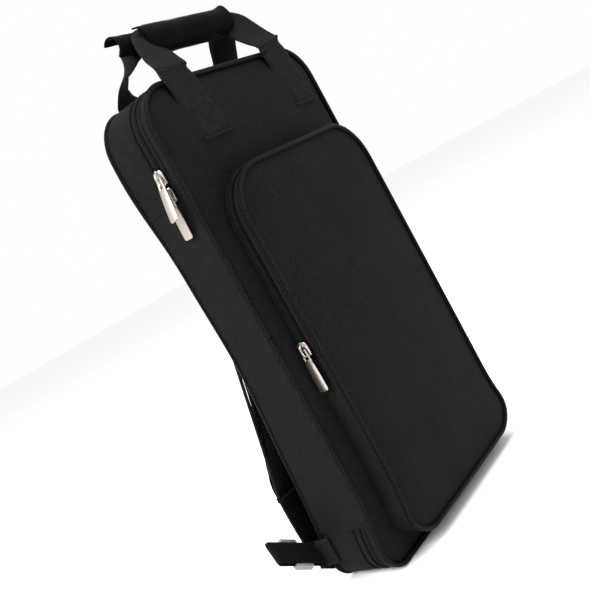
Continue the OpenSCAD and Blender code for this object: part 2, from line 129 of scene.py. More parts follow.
@dataclass(frozen=True)
class Settle:
    """How the filled cloth settles.

    Attributes:
        sizes: Sizes of the bag.
        crown: How far the middle of the front stands out.
        recess: How far the right edge of the front lies back.
        waist: Depth of the waist in the back.
        waist_z: Height of the waist.
        waist_reach: How far the waist spreads up and down.
        top_tuck: How far the top of the back is drawn in.
        tuck_reach: How far down the tuck spreads.
        foot_bulge: How far the foot of the back stands out.
        foot_z: Height of that bulge.
        foot_reach: How far it spreads.
        flare: Share by which the foot is wider in front.
        flare_z: Height where it is widest; it spreads as far.
        nip: Share by which the back is narrower at the chest.
        chest_z: Height of the chest.
        chest_reach: How far the nip spreads.
    """

    sizes: BagSizes
    crown: float = 6.0
    recess: float = 3.0
    waist: float = 14.0
    waist_z: float = 228.0
    waist_reach: float = 112.0
    top_tuck: float = 5.0
    tuck_reach: float = 42.0
    foot_bulge: float = 4.0
    foot_z: float = 30.0
    foot_reach: float = 34.0
    flare: float = 0.066
    flare_z: float = 26.0
    nip: float = 0.03
    chest_z: float = 333.0
    chest_reach: float = 46.0

    def __call__(self, points: np.ndarray) -> np.ndarray:
        """Moves points from the plain shape to the settled one.

        Args:
            points: Array of points, one row each.

        Returns:
            The moved points.
        """
        z = self.sizes
        x, y, up = points[:, 0], points[:, 1], points[:, 2]
        across = np.clip(np.abs(x) / (z.width / 2), 0, 1)
        front_weight = np.clip((z.back - y) / (z.back - z.front), 0, 1.0)
        to_front = np.clip((z.zip_y - y) / (z.zip_y - z.front), 0, 1)
        to_back = np.clip((y - z.zip_y) / (z.back - z.zip_y), 0, 1)
        mid = z.height / 2
        tall = 1 - np.clip(np.abs(up - mid) / mid, 0, 1) ** 4
        crown = self.crown * (1 - across**2) * tall * to_front
        recess = self.recess * np.clip((x + z.width / 2) / z.width, 0, 1) * front_weight
        waist = self.waist * hump(up, self.waist_z, self.waist_reach)
        waist = waist + self.top_tuck * hump(up, z.height, self.tuck_reach)
        waist = waist - self.foot_bulge * hump(up, self.foot_z, self.foot_reach)
        waist = waist * (0.18 + 0.82 * across**2) * to_back
        foot = hump(up, self.flare_z, self.flare_z) * front_weight
        chest = hump(up, self.chest_z, self.chest_reach)
        side = 1 + self.flare * foot - self.nip * chest * across * to_back
        moved = points.copy()
        moved[:, 0] = x * side
        moved[:, 1] = y - crown + recess - waist
        return moved


# --- outlines and meshes


@dataclass
class Run:
    """Evenly sampled line round an outline, with its outward normals."""

    x: np.ndarray
    z: np.ndarray
    nx: np.ndarray
    nz: np.ndarray
    s: np.ndarray
    closed: bool

    @property
    def length(self) -> float:
        """Whole length of the run."""
        return float(self.s[-1])

    def at(self, s: np.ndarray, u: np.ndarray | float, v: np.ndarray | float) -> np.ndarray:
        """Points at distances along the run.

        Args:
            s: Distances from the start.
            u: Distance outwards from the outline.
            v: Depth, along Y.

        Returns:
            One point per distance.
        """
        wrapped = np.mod(s, self.length) if self.closed else np.clip(s, 0, self.length)
        x, z, nx, nz = (np.interp(wrapped, self.s, a) for a in (self.x, self.z, self.nx, self.nz))
        return np.stack([x + nx * u, np.broadcast_to(v, x.shape), z + nz * u], axis=1)


@dataclass(frozen=True)
class Outline:
    """Rounded rectangle standing in the X-Z plane."""

    width: float
    height: float
    top_r: float
    bottom_r: float
    centre_x: float = 0.0
    base_z: float = 0.0

    @property
    def top_z(self) -> float:
        """Height of the top edge."""
        return self.base_z + self.height

    def half_width(self, z: np.ndarray, inset: float) -> np.ndarray:
        """Half of the width at each height.

        Args:
            z: Heights.
            inset: How far the outline is drawn in.

        Returns:
            Half widths, never below zero.
        """
        top, base = self.top_z - inset, self.base_z + inset
        half = self.width / 2 - inset
        rt, rb = self.top_r - inset, self.bottom_r - inset
        over = np.clip(z - (top - rt), 0, rt)
        under = np.clip((base + rb) - z, 0, rb)
        return half - (rt - np.sqrt(rt**2 - over**2)) - (rb - np.sqrt(rb**2 - under**2))

    def depth_inside(self, x: np.ndarray, z: np.ndarray) -> np.ndarray:
        """Distance from each point to the outline, positive inside.

        Args:
            x: Places across.
            z: Heights.

        Returns:
            Distances.
        """
        mid_z = self.base_z + self.height / 2
        radius = np.where(z > mid_z, self.top_r, self.bottom_r)
        qx = np.abs(x - self.centre_x) - self.width / 2 + radius
        qz = np.abs(z - mid_z) - self.height / 2 + radius
        outside = np.hypot(np.maximum(qx, 0), np.maximum(qz, 0))
        return -(outside + np.minimum(np.maximum(qx, qz), 0) - radius)

    def run(self, step: float, start: float | None = None, end: float | None = None) -> Run:
        """Line round the outline, clockwise from the left side.

        Args:
            step: Largest distance between points.
            start: Height on the left side where an open run starts; None closes the run.
            end: Height on the left side where an open run ends.

        Returns:
            The sampled run.
        """
        closed = start is None
        left, right = self.centre_x - self.width / 2, self.centre_x + self.width / 2
        top, base, rt, rb = self.top_z, self.base_z, self.top_r, self.bottom_r
        begin = self.base_z + self.height / 2 if start is None else start
        finish = begin if end is None else end
        rows: list[tuple[float, float, float, float]] = []

        def line(x0: float, z0: float, x1: float, z1: float, nx: float, nz: float) -> None:
            """Adds a straight stretch."""
            count = max(1, math.ceil(math.hypot(x1 - x0, z1 - z0) / step))
            rows.extend(
                (x0 + (x1 - x0) * i / count, z0 + (z1 - z0) * i / count, nx, nz) for i in range(count)
            )

        def arc(cx: float, cz: float, r: float, a0: float) -> None:
            """Adds a quarter turn, clockwise from an angle in degrees."""
            count = max(4, math.ceil(r * math.pi / 2 / step))
            for i in range(count):
                a = math.radians(a0 - 90 * i / count)
                rows.append((cx + r * math.cos(a), cz + r * math.sin(a), math.cos(a), math.sin(a)))

        line(left, begin, left, top - rt, -1, 0)
        arc(left + rt, top - rt, rt, 180)
        line(left + rt, top, right - rt, top, 0, 1)
        arc(right - rt, top - rt, rt, 90)
        line(right, top - rt, right, base + rb, 1, 0)
        arc(right - rb, base + rb, rb, 0)
        line(right - rb, base, left + rb, base, 0, -1)
        arc(left + rb, base + rb, rb, -90)
        line(left, base + rb, left, finish, -1, 0)
        rows.append((left, finish, -1, 0))
        x, z, nx, nz = (np.array(column) for column in zip(*rows))
        s = np.concatenate([[0], np.cumsum(np.hypot(np.diff(x), np.diff(z)))])
        return Run(x, z, nx, nz, s, closed)


@dataclass
class MeshData:
    """Vertices, faces and a flat map in metres, gathered before they become an object."""

    verts: list[np.ndarray] = field(default_factory=list)
    faces: list[tuple[int, ...]] = field(default_factory=list)
    uvs: list[np.ndarray] = field(default_factory=list)
    count: int = 0

    def add(self, verts: np.ndarray, faces: Iterable[Sequence[int]], uvs: np.ndarray) -> None:
        """Adds one closed part.

        Args:
            verts: Its points.
            faces: Its faces, by the part's own point numbers.
            uvs: One flat place per point, in millimetres.
        """
        base = self.count
        self.verts.append(np.asarray(verts, float))
        self.uvs.append(np.asarray(uvs, float))
        self.faces.extend(tuple(i + base for i in f) for f in faces)
        self.count += len(verts)

    def points(self) -> np.ndarray:
        """All points so far."""
        return np.concatenate(self.verts)


def grid_faces(rows: int, cols: int, wrap_rows: bool, wrap_cols: bool) -> list[tuple[int, ...]]:
    """Quads of a grid of points.

    Args:
        rows: Number of rows.
        cols: Points per row.
        wrap_rows: Joins the last row to the first.
        wrap_cols: Joins the last column to the first.

    Returns:
        The faces.
    """
    faces = []
    for i in range(rows if wrap_rows else rows - 1):
        a, b = i * cols, ((i + 1) % rows) * cols
        for j in range(cols if wrap_cols else cols - 1):
            k = (j + 1) % cols
            faces.append((a + j, a + k, b + k, b + j))
    return faces


def sweep(data: MeshData, run: Run, section: Sequence[tuple[float, float]]) -> None:
    """Sweeps a closed section along a run.

    Args:
        data: Where the part is added.
        run: The run.
        section: Points (outwards, depth) of the section.
    """
    rows = len(run.s) - 1 if run.closed else len(run.s)
    cols = len(section)
    u = np.array([p[0] for p in section])
    v = np.array([p[1] for p in section])
    around = np.concatenate([[0], np.cumsum(np.hypot(np.diff(u), np.diff(v)))])
    x = run.x[:rows, None] + run.nx[:rows, None] * u[None, :]
    z = run.z[:rows, None] + run.nz[:rows, None] * u[None, :]
    y = np.broadcast_to(v[None, :], x.shape)
    verts = np.stack([x, y, z], axis=2).reshape(-1, 3)
    uvs = np.stack(np.broadcast_arrays(run.s[:rows, None], around[None, :]), axis=2).reshape(-1, 2)
    faces = grid_faces(rows, cols, run.closed, True)
    if not run.closed:
        faces.append(tuple(range(cols)))
        faces.append(tuple((rows - 1) * cols + j for j in reversed(range(cols))))
    data.add(verts, faces, uvs)


def ring(centre_u: float, centre_v: float, radius: float, sides: int = 12) -> list[tuple[float, float]]:
    """Round section for a sweep."""
    turns = (2 * math.pi * i / sides for i in range(sides))
    return [(centre_u + radius * math.cos(a), centre_v + radius * math.sin(a)) for a in turns]


def band(front: float, back: float, outer: float, thick: float, puff: float,
         count: int) -> list[tuple[float, float]]:
    """Section of a cloth band.

    Args:
        front: Depth of its front edge.
        back: Depth of its back edge.
        outer: Height of its surface against the outline.
        thick: Its thickness.
        puff: How far its middle swells.
        count: Number of stations across.

    Returns:
        Closed section.
    """
    stations = [i / (count - 1) for i in range(count)]
    swell = [puff * (1 - (2 * t - 1) ** 4) for t in stations]
    upper = [(outer + w, front + (back - front) * t) for t, w in zip(stations, swell)]
    lower = [(outer + w - thick, front + (back - front) * t) for t, w in zip(stations, swell)]
    return upper + lower[::-1]


def tube(data: MeshData, points: np.ndarray, radius: float, sides: int, closed: bool) -> None:
    """Adds a thin tube along points.

    Args:
        data: Where the part is added.
        points: The tube's middle line.
        radius: Its radius.
        sides: Number of its sides.
        closed: Whether its ends meet.
    """
    following = np.roll(points, -1, axis=0) - points
    if not closed:
        following[-1] = following[-2]
    tangents = following + np.roll(following, 1, axis=0)
    if not closed:
        tangents[0] = following[0]
    tangents /= np.linalg.norm(tangents, axis=1, keepdims=True) + 1e-12
    normals = np.zeros_like(points)
    normal = np.cross(tangents[0], (0.3, 0.9, 0.2))
    for i, tangent in enumerate(tangents):
        normal = normal - tangent * np.dot(normal, tangent)
        normal = normal / (np.linalg.norm(normal) + 1e-12)
        normals[i] = normal
    binormals = np.cross(tangents, normals)
    angles = 2 * math.pi * np.arange(sides) / sides
    verts = (
        points[:, None, :]
        + radius * np.cos(angles)[None, :, None] * normals[:, None, :]
        + radius * np.sin(angles)[None, :, None] * binormals[:, None, :]
    ).reshape(-1, 3)
    s = np.concatenate([[0], np.cumsum(np.linalg.norm(np.diff(points, axis=0), axis=1))])
    uvs = np.stack(np.broadcast_arrays(s[:, None], radius * angles[None, :]), axis=2).reshape(-1, 2)
    faces = grid_faces(len(points), sides, closed, True)
    if not closed:
        faces.append(tuple(reversed(range(sides))))
        faces.append(tuple((len(points) - 1) * sides + j for j in range(sides)))
    data.add(verts, faces, uvs)


def sheet_between(data: MeshData, upper: np.ndarray, lower: np.ndarray, flat: np.ndarray) -> None:
    """Closes two matching grids of points into one solid.

    Args:
        data: Where the part is added.
        upper: Grid of points, rows by columns by 3.
        lower: The grid on the other side.
        flat: Flat place of each grid point, rows by columns by 2.
    """
    rows, cols = upper.shape[:2]
    size = rows * cols
    faces = grid_faces(rows, cols, False, False)
    faces += [tuple(reversed([i + size for i in f])) for f in faces]
    edge = list(range(cols))
    edge += [i * cols + cols - 1 for i in range(1, rows)]
    edge += [(rows - 1) * cols + j for j in reversed(range(cols - 1))]
    edge += [i * cols for i in reversed(range(1, rows - 1))]
    for a, b in zip(edge, edge[1:] + edge[:1]):
        faces.append((b, a, a + size, b + size))
    verts = np.concatenate([upper.reshape(-1, 3), lower.reshape(-1, 3)])
    data.add(verts, faces, np.concatenate([flat.reshape(-1, 2)] * 2))


def stitch(data: MeshData, start: np.ndarray, end: np.ndarray, thick: float) -> None:
    """Adds one stitch: a thread that is fat in the middle and dives in at both ends.

    Args:
        data: Where the stitch is added.
        start: Its first end.
        end: Its other end.
        thick: Half of its thickness.
    """
    along = end - start
    length = np.linalg.norm(along)
    along = along / length
    side = np.cross(along, (0.31, 0.84, 0.44))
    side /= np.linalg.norm(side)
    other = np.cross(along, side)
    middle = (start + end) / 2
    reach = along * length * 0.28
    ring_points = [side, other, -side, -other]
    verts = [start]
    verts += [middle - reach + p * thick for p in ring_points]
    verts += [middle + reach + p * thick for p in ring_points]
    verts += [end]
    faces: list[tuple[int, ...]] = [(0, 1 + (i + 1) % 4, 1 + i) for i in range(4)]
    faces += [(1 + i, 1 + (i + 1) % 4, 5 + (i + 1) % 4, 5 + i) for i in range(4)]
    faces += [(9, 5 + i, 5 + (i + 1) % 4) for i in range(4)]
    data.add(np.array(verts), faces, np.zeros((10, 2)))


def stitch_path(data: MeshData, points: np.ndarray, pitch: float = 3.0, thick: float = 0.28) -> None:
    """Adds a row of stitches along a line of points.

    Args:
        data: Where the stitches are added.
        points: The line.
        pitch: Distance from one stitch to the next.
        thick: Half of the thread's thickness.
    """
    steps = np.linalg.norm(np.diff(points, axis=0), axis=1)
    s = np.concatenate([[0], np.cumsum(steps)])
    for k in range(max(1, int(s[-1] / pitch))):
        ends = [np.array([np.interp(t, s, points[:, a]) for a in range(3)])
                for t in (k * pitch + 0.25, k * pitch + pitch * 0.84)]
        stitch(data, ends[0], ends[1], thick)


def stitch_run(data: MeshData, run: Run, u: float, v: float, pitch: float = 3.0, thick: float = 0.28) -> None:
    """Adds a row of stitches along a run."""
    s = np.arange(0, run.length, 1.0)
    stitch_path(data, run.at(s, u, v), pitch, thick)


def coil(data: MeshData, run: Run, u: float, v: float, turn: float) -> None:
    """Adds one row of zipper coil: a flattened spiral along a run.

    Args:
        data: Where the coil is added.
        run: The run that it follows.
        u: Height of its middle against the outline.
        v: Depth of its middle.
        turn: +1 or -1, the side that its turns lean to.
    """
    pitch, wide, tall, wire, per_turn, bare_end = 1.9, 1.05, 0.62, 0.34, 8, 1.0
    s = np.arange(bare_end, run.length - bare_end, pitch / per_turn)
    phase = 2 * math.pi * s / pitch
    points = run.at(s, 0.0, 0.0)
    outward = run.at(s, 1.0, 0.0) - points
    points = points + outward * (u + tall * np.cos(phase))[:, None]
    points[:, 1] = v + turn * wide * np.sin(phase)
    tube(data, points, wire, 4, False)


def panel_grid(outline: Outline, inset: float, columns: int, rows: int) -> tuple[np.ndarray, np.ndarray]:
    """Grid of places that fills an outline.

    Args:
        outline: The outline.
        inset: How far it is drawn in.
        columns: Points across.
        rows: Points up.

    Returns:
        Arrays x and z, rows by columns.
    """
    base, top = outline.base_z + inset, outline.top_z - inset
    share = 0.5 - 0.5 * np.cos(math.pi * np.arange(rows) / (rows - 1))
    share = 0.55 * share + 0.45 * np.arange(rows) / (rows - 1)
    heights = base + (top - base) * share
    heights[0] = base + 0.02
    heights[-1] = top - 0.02
    across = np.linspace(-1, 1, columns)
    across = np.sign(across) * (1 - (1 - np.abs(across)) ** 1.25)
    half = outline.half_width(heights, inset)
    x = outline.centre_x + half[:, None] * across[None, :]
    z = np.broadcast_to(heights[:, None], x.shape)
    return x, z.copy()


def ripple(points: np.ndarray, size: float, seed: float) -> np.ndarray:
    """Smooth wandering value from -1 to 1 at each point.

    Args:
        points: Array of points.
        size: Size of the waves.
        seed: Shifts the pattern.

    Returns:
        One value per point.
    """
    shift = Vector((seed * 17.3, seed * 5.1, seed * 9.7))
    return np.array([noise.noise(Vector(p) / size + shift) for p in points])


def to_object(name: str, data: MeshData, material: bpy.types.Material,
              settle: Callable[[np.ndarray], np.ndarray] | None = None) -> bpy.types.Object:
    """Turns gathered mesh data into an object.

    Args:
        name: Name of the piece.
        data: Its parts.
        material: Its finish.
        settle: Moves its points, or None.

    Returns:
        The new object, in metres.
    """
    points = data.points()
    if settle is not None:
        points = settle(points)
    mesh = bpy.data.meshes.new(name)
    mesh.from_pydata((points * MM).tolist(), [], data.faces)
    uv_layer = mesh.uv_layers.new(name="run")
    flat = np.concatenate(data.uvs) * MM
    loops = np.zeros(len(mesh.loops), dtype=np.int64)
    mesh.loops.foreach_get("vertex_index", loops)
    uv_layer.data.foreach_set("uv", flat[loops].astype(np.float32).ravel())
    work = bmesh.new()
    work.from_mesh(mesh)
    bmesh.ops.recalc_face_normals(work, faces=work.faces)
    work.to_mesh(mesh)
    work.free()
    mesh.polygons.foreach_set("use_smooth", [True] * len(mesh.polygons))
    mesh.materials.append(material)
    obj = bpy.data.objects.new(name, mesh)
    bpy.context.scene.collection.objects.link(obj)
    return obj


def harden(obj: bpy.types.Object, width: float, segments: int = 2) -> None:
    """Rounds an object's edges with an applied bevel.

    Args:
        obj: The object.
        width: Width of the bevel, in millimetres.
        segments: Its steps.
    """
    bevel = obj.modifiers.new("edges", "BEVEL")
    bevel.width = width * MM
    bevel.segments = segments
    bevel.limit_method = "ANGLE"
    bevel.angle_limit = math.radians(35)
    bevel.harden_normals = False
    bake_modifiers(obj)


def bake_modifiers(obj: bpy.types.Object) -> None:
    """Applies an object's modifiers to its mesh."""
    bpy.context.view_layer.update()
    depsgraph = bpy.context.evaluated_depsgraph_get()
    fixed = bpy.data.meshes.new_from_object(obj.evaluated_get(depsgraph))
    old = obj.data
    obj.modifiers.clear()
    obj.data = fixed
    bpy.data.meshes.remove(old)
    fixed.name = obj.name


# --- finishes


@dataclass(frozen=True)
class Shade:
    """A shader socket that Python arithmetic can be written on."""

    nodes: "NodeMaker"
    socket: bpy.types.NodeSocket

    def __add__(self, other: "Shade | float") -> "Shade":
        """Sum."""
        return self.nodes.maths("ADD", self, other)

    __radd__ = __add__

    def __sub__(self, other: "Shade | float") -> "Shade":
        """Difference."""
        return self.nodes.maths("SUBTRACT", self, other)

    def __rsub__(self, other: float) -> "Shade":
        """Difference from a number."""
        return self.nodes.maths("SUBTRACT", other, self)

    def __mul__(self, other: "Shade | float") -> "Shade":
        """Product."""
        return self.nodes.maths("MULTIPLY", self, other)

    __rmul__ = __mul__


@dataclass(frozen=True)
class NodeMaker:
    """Adds nodes to one material."""

    tree: bpy.types.NodeTree

    def make(self, kind: str, settings: dict[str, object], inputs: dict[str | int, object]) -> bpy.types.Node:
        """Adds one node.

        Args:
            kind: The node's type.
            settings: Its properties, set first.
            inputs: Values or links of its sockets.

        Returns:
            The node.
        """
        node = self.tree.nodes.new(kind)
        for key, value in settings.items():
            setattr(node, key, value)
        for key, value in inputs.items():
            if isinstance(value, Shade):
                self.tree.links.new(value.socket, node.inputs[key])
            elif isinstance(value, bpy.types.NodeSocket):
                self.tree.links.new(value, node.inputs[key])
            else:
                node.inputs[key].default_value = value
        return node

    def maths(self, operation: str, *values: "Shade | float") -> Shade:
        """Adds one Math node."""
        node = self.make("ShaderNodeMath", {"operation": operation}, dict(enumerate(values)))
        return Shade(self, node.outputs[0])

    def wave(self, value: Shade) -> Shade:
        """Sine of a value that counts whole turns."""
        return self.maths("SINE", value * (2 * math.pi))

    def noise(self, place: bpy.types.NodeSocket, scale: float, detail: float = 2.0) -> Shade:
        """Noise from 0 to 1."""
        node = self.make("ShaderNodeTexNoise", {}, {"Vector": place, "Scale": scale, "Detail": detail})
        return Shade(self, node.outputs["Fac"])

    def mix(self, share: Shade, dark: Sequence[float], light: Sequence[float]) -> bpy.types.NodeSocket:
        """Mixes two colours.

        Args:
            share: Share of the light one.
            dark: The dark colour.
            light: The light colour.

        Returns:
            Socket of the mixed colour.
        """
        node = self.make(
            "ShaderNodeMix",
            {"data_type": "RGBA", "clamp_factor": True},
            {"Factor": share, 6: (*dark, 1.0), 7: (*light, 1.0)},
        )
        return node.outputs[2]

    def feed(self, shader: bpy.types.Node, colour: bpy.types.NodeSocket, rough: Shade,
             bump: bpy.types.Node) -> None:
        """Links a shader's colour, roughness and relief."""
        self.tree.links.new(colour, shader.inputs["Base Color"])
        self.tree.links.new(rough.socket, shader.inputs["Roughness"])
        self.tree.links.new(bump.outputs[0], shader.inputs["Normal"])


def finish_called(name: str, dress: Callable[[NodeMaker, bpy.types.Node], None]) -> bpy.types.Material:
    """Material by its name, made the first time that it is asked for.

    Args:
        name: Name of the material.
        dress: Adds its nodes round its shader.

    Returns:
        The material.
    """
    made = bpy.data.materials.get(name)
    if made is None:
        made = bpy.data.materials.new(name)
        made.use_nodes = True
        dress(NodeMaker(made.node_tree), made.node_tree.nodes["Principled BSDF"])
    return made


class Weave(Enum):
    """How threads lie in a cloth."""

    PLAIN = "plain"
    TWILL = "twill"
    WEBBING = "webbing"
    OPEN_MESH = "open mesh"


class Mapping(Enum):
    """What a cloth's threads follow."""

    RUN = "flat map of the piece"
    FRONT = "the bag's width and height"


@dataclass(frozen=True)
class Cloth:
    """Woven finish.

    Attributes:
        name: Name of the material.
        tone: Linear grey of the threads.
        pitch: Spacing of the threads in millimetres.
        weave: How the threads lie.
        relief: Strength of the relief.
        roughness: Mean roughness.
        sheen: Weight of the sheen.
        mapping: What the threads follow.
        tint: Multiplies the grey, for a cool or warm black.
        specular: Specular level.
        contrast: How far the threads' greys lie apart, 0 to 1.
        ribs: How much the threads decide the grey, against fuzz and clouds.
    """

    name: str
    tone: float
    pitch: float
    weave: Weave
    relief: float = 0.35
    roughness: float = 0.72
    sheen: float = 0.004
    mapping: Mapping = Mapping.RUN
    tint: tuple[float, float, float] = (0.97, 0.98, 1.05)
    specular: float = 0.06
    contrast: float = 0.6
    ribs: float = 0.5

    def threads(self, nodes: NodeMaker, across: Shade, along: Shade) -> Shade:
        """Adds the weave.

        Args:
            nodes: Adds the nodes.
            across: Place across the cloth, in threads.
            along: Place along it, in threads.

        Returns:
            Height of the threads, about 0 to 1.
        """
        if self.weave is Weave.PLAIN:
            bumps = nodes.wave(across * 0.5) * nodes.wave(along * 0.5)
            return nodes.maths("ABSOLUTE", bumps)
        if self.weave is Weave.TWILL:
            ribs = nodes.wave(across + along) * 0.5 + 0.5
            return ribs * 0.75 + (nodes.wave(across - along) * 0.5 + 0.5) * 0.25
        if self.weave is Weave.WEBBING:
            fold = nodes.maths("PINGPONG", across * 0.25, 0.5)
            chevron = nodes.wave(along * 0.5 + fold) * 0.5 + 0.5
            return chevron * 0.6 + nodes.maths("ABSOLUTE", nodes.wave(across * 0.5)) * 0.4
        cells = nodes.wave(across) + nodes.wave(across * 0.5 + along * 0.87)
        cells = cells + nodes.wave(across * 0.5 - along * 0.87)
        return nodes.maths("MINIMUM", cells * 0.5 + 0.7, 1.0)

    def material(self) -> bpy.types.Material:
        """The material."""
        return finish_called(self.name, self.dress)

    def dress(self, nodes: NodeMaker, shader: bpy.types.Node) -> None:
        """Adds the weave, its fuzz and its clouds.

        Args:
            nodes: Adds the nodes.
            shader: The shader that they feed.
        """
        place = nodes.make("ShaderNodeTexCoord", {}, {})
        solid = place.outputs["Object"]
        flat = place.outputs["UV"] if self.mapping is Mapping.RUN else solid
        parts = nodes.make("ShaderNodeSeparateXYZ", {}, {"Vector": flat})
        second = parts.outputs["Y" if self.mapping is Mapping.RUN else "Z"]
        per_metre = 1000 / self.pitch
        across = Shade(nodes, parts.outputs["X"]) * per_metre
        along = Shade(nodes, second) * per_metre
        drift = nodes.noise(solid, 90.0, 3.0)
        threads = self.threads(nodes, across + drift * 0.35, along + drift * 0.35)
        fuzz = (nodes.noise(solid, 620.0, 3.0) - 0.5) * 4.0 + 0.5
        cloud = nodes.noise(solid, 14.0, 4.0)
        share = threads * self.ribs + fuzz * 0.3 + cloud * 0.45 - 0.12 - (self.ribs - 0.5) * 0.6
        dark = [self.tone * (1 - self.contrast) * c for c in self.tint]
        light = [self.tone * (1 + 1.6 * self.contrast) * c for c in self.tint]
        rough = self.roughness + (cloud - 0.5) * 0.1 - threads * 0.05
        height = threads * 0.75 + fuzz * 0.35
        bump = nodes.make("ShaderNodeBump", {}, {
            "Strength": self.relief, "Distance": self.pitch * MM * 0.35, "Height": height})
        nodes.feed(shader, nodes.mix(share, dark, light), rough, bump)
        shader.inputs["Sheen Weight"].default_value = self.sheen
        shader.inputs["Sheen Roughness"].default_value = 0.45
        shader.inputs["Sheen Tint"].default_value = (0.9, 0.92, 1.0, 1.0)
        shader.inputs["Specular IOR Level"].default_value = self.specular


@dataclass(frozen=True)
class Moulded:
    """Moulded plastic or cast metal finish.

    Attributes:
        name: Name of the material.
        colour: Its linear colour.
        metallic: 1 for metal, 0 for plastic.
        roughness: Mean roughness.
        brush: How far the roughness wanders.
        grain: Strength of the relief.
        specular: Specular level.
        depth: Depth of the relief in millimetres.
    """

    name: str
    colour: tuple[float, float, float]
    metallic: float
    roughness: float
    brush: float = 0.06
    grain: float = 0.1
    specular: float = 0.5
    depth: float = 0.06

    def material(self) -> bpy.types.Material:
        """The material."""
        return finish_called(self.name, self.dress)

    def dress(self, nodes: NodeMaker, shader: bpy.types.Node) -> None:
        """Adds the cloudy colour and the fine grain.

        Args:
            nodes: Adds the nodes.
            shader: The shader that they feed.
        """
        solid = nodes.make("ShaderNodeTexCoord", {}, {}).outputs["Object"]
        cloud = nodes.noise(solid, 60.0, 3.0)
        speck = nodes.noise(solid, 1600.0, 2.0)
        dark = [c * 0.86 for c in self.colour]
        light = [min(1.0, c * 1.1) for c in self.colour]
        rough = self.roughness + (cloud - 0.5) * self.brush + (speck - 0.5) * self.brush
        bump = nodes.make("ShaderNodeBump", {}, {
            "Strength": self.grain, "Distance": self.depth * MM, "Height": speck})
        nodes.feed(shader, nodes.mix(cloud, dark, light), rough, bump)
        shader.inputs["Metallic"].default_value = self.metallic
        shader.inputs["Specular IOR Level"].default_value = self.specular


NYLON = Cloth("outer_nylon", 0.0070, 0.75, Weave.PLAIN, relief=0.6, roughness=0.6, specular=0.014,
              contrast=0.66)
NYLON_DARK = Cloth("outer_nylon_dark", 0.0065, 0.75, Weave.PLAIN, relief=0.4, roughness=0.7, specular=0.015)
# Strong colour contrast along the twill ribs: partly the weave, partly painted highlight on the ribs and
# painted shade between them.
PIPING = Cloth("piping_twill", 0.0042, 2.5, Weave.TWILL, relief=1.0, roughness=0.4, specular=0.04,
               contrast=0.97, ribs=1.3)
WEBBING = Cloth("strap_webbing", 0.0074, 1.15, Weave.WEBBING, relief=0.9, roughness=0.66, specular=0.02,
                contrast=0.8, ribs=0.8)
# Darker copy of the strap webbing for the adjusters: painted shade, standing for the shade that the back
# fittings lie in.
WEBBING_PAINTED_SHADE = Cloth("adjuster_webbing", 0.0045, 1.15, Weave.WEBBING, relief=0.7, roughness=0.6,
                     specular=0.015)
TAPE = Cloth("zipper_tape", 0.0068, 0.9, Weave.TWILL, relief=0.5, roughness=0.66, specular=0.02)
GRIP = Cloth("grip_cloth", 0.003, 0.6, Weave.PLAIN, relief=0.25, roughness=0.5, specular=0.012, sheen=0.0)
LINING = Cloth("lining_cloth", 0.05, 0.6, Weave.PLAIN, relief=0.25, roughness=0.6)
PAD_MESH = Cloth("pad_mesh", 0.0024, 2.2, Weave.OPEN_MESH, relief=0.9, roughness=0.85, specular=0.015,
                 mapping=Mapping.FRONT)
PAD_NYLON = Cloth("pad_nylon", 0.0026, 0.75, Weave.PLAIN, relief=0.3, roughness=0.72, specular=0.015,
                  mapping=Mapping.FRONT)
THREAD = Moulded("sewing_thread", (0.003, 0.003, 0.0032), 0.0, 0.7, specular=0.1)
COIL = Moulded("coil_plastic", (0.003, 0.003, 0.0032), 0.0, 0.4, specular=0.16)
METAL = Moulded("satin_nickel", (0.5, 0.45, 0.39), 1.0, 0.3, brush=0.08, grain=0.05)
BUCKLE = Moulded("buckle_plastic", (0.06, 0.06, 0.062), 0.0, 0.42, specular=0.3)


# --- shared making


@dataclass
class Maker:
    """What every sub-assembly is made with."""

    sizes: BagSizes
    settle: Settle

    @property
    def shell(self) -> Outline:
        """Outline of the bag."""
        z = self.sizes
        return Outline(z.width, z.height, z.top_r, z.bottom_r)

    def piece(self, name: str, data: MeshData, finish: Cloth | Moulded, body: str | None, slot: str,
              replaced: Sequence[str] = (), settled: bool = True) -> bpy.types.Object:
        """Args:
            name: Name of the piece.
            data: Its mesh.
            finish: Its finish.
            body: The body that it moves with, or None to leave it unattached.
            slot: Not used.
            replaced: CAD nodes that it stands for.
            settled: Whether it settles with the bag's cloth.

        Returns:
            The piece.
        """
        obj = to_object(name, data, finish.material(), self.settle if settled else None)
        if body is not None:
            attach(obj, body)
        if replaced:
            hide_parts(*replaced)
        LOG.info("made %s with %d points", name, len(obj.data.vertices))
        return obj

    def moved(self, x: float, y: float, z: float) -> np.ndarray:
        """Where the settling takes one point."""
        return self.settle(np.array([[x, y, z]], float))[0]


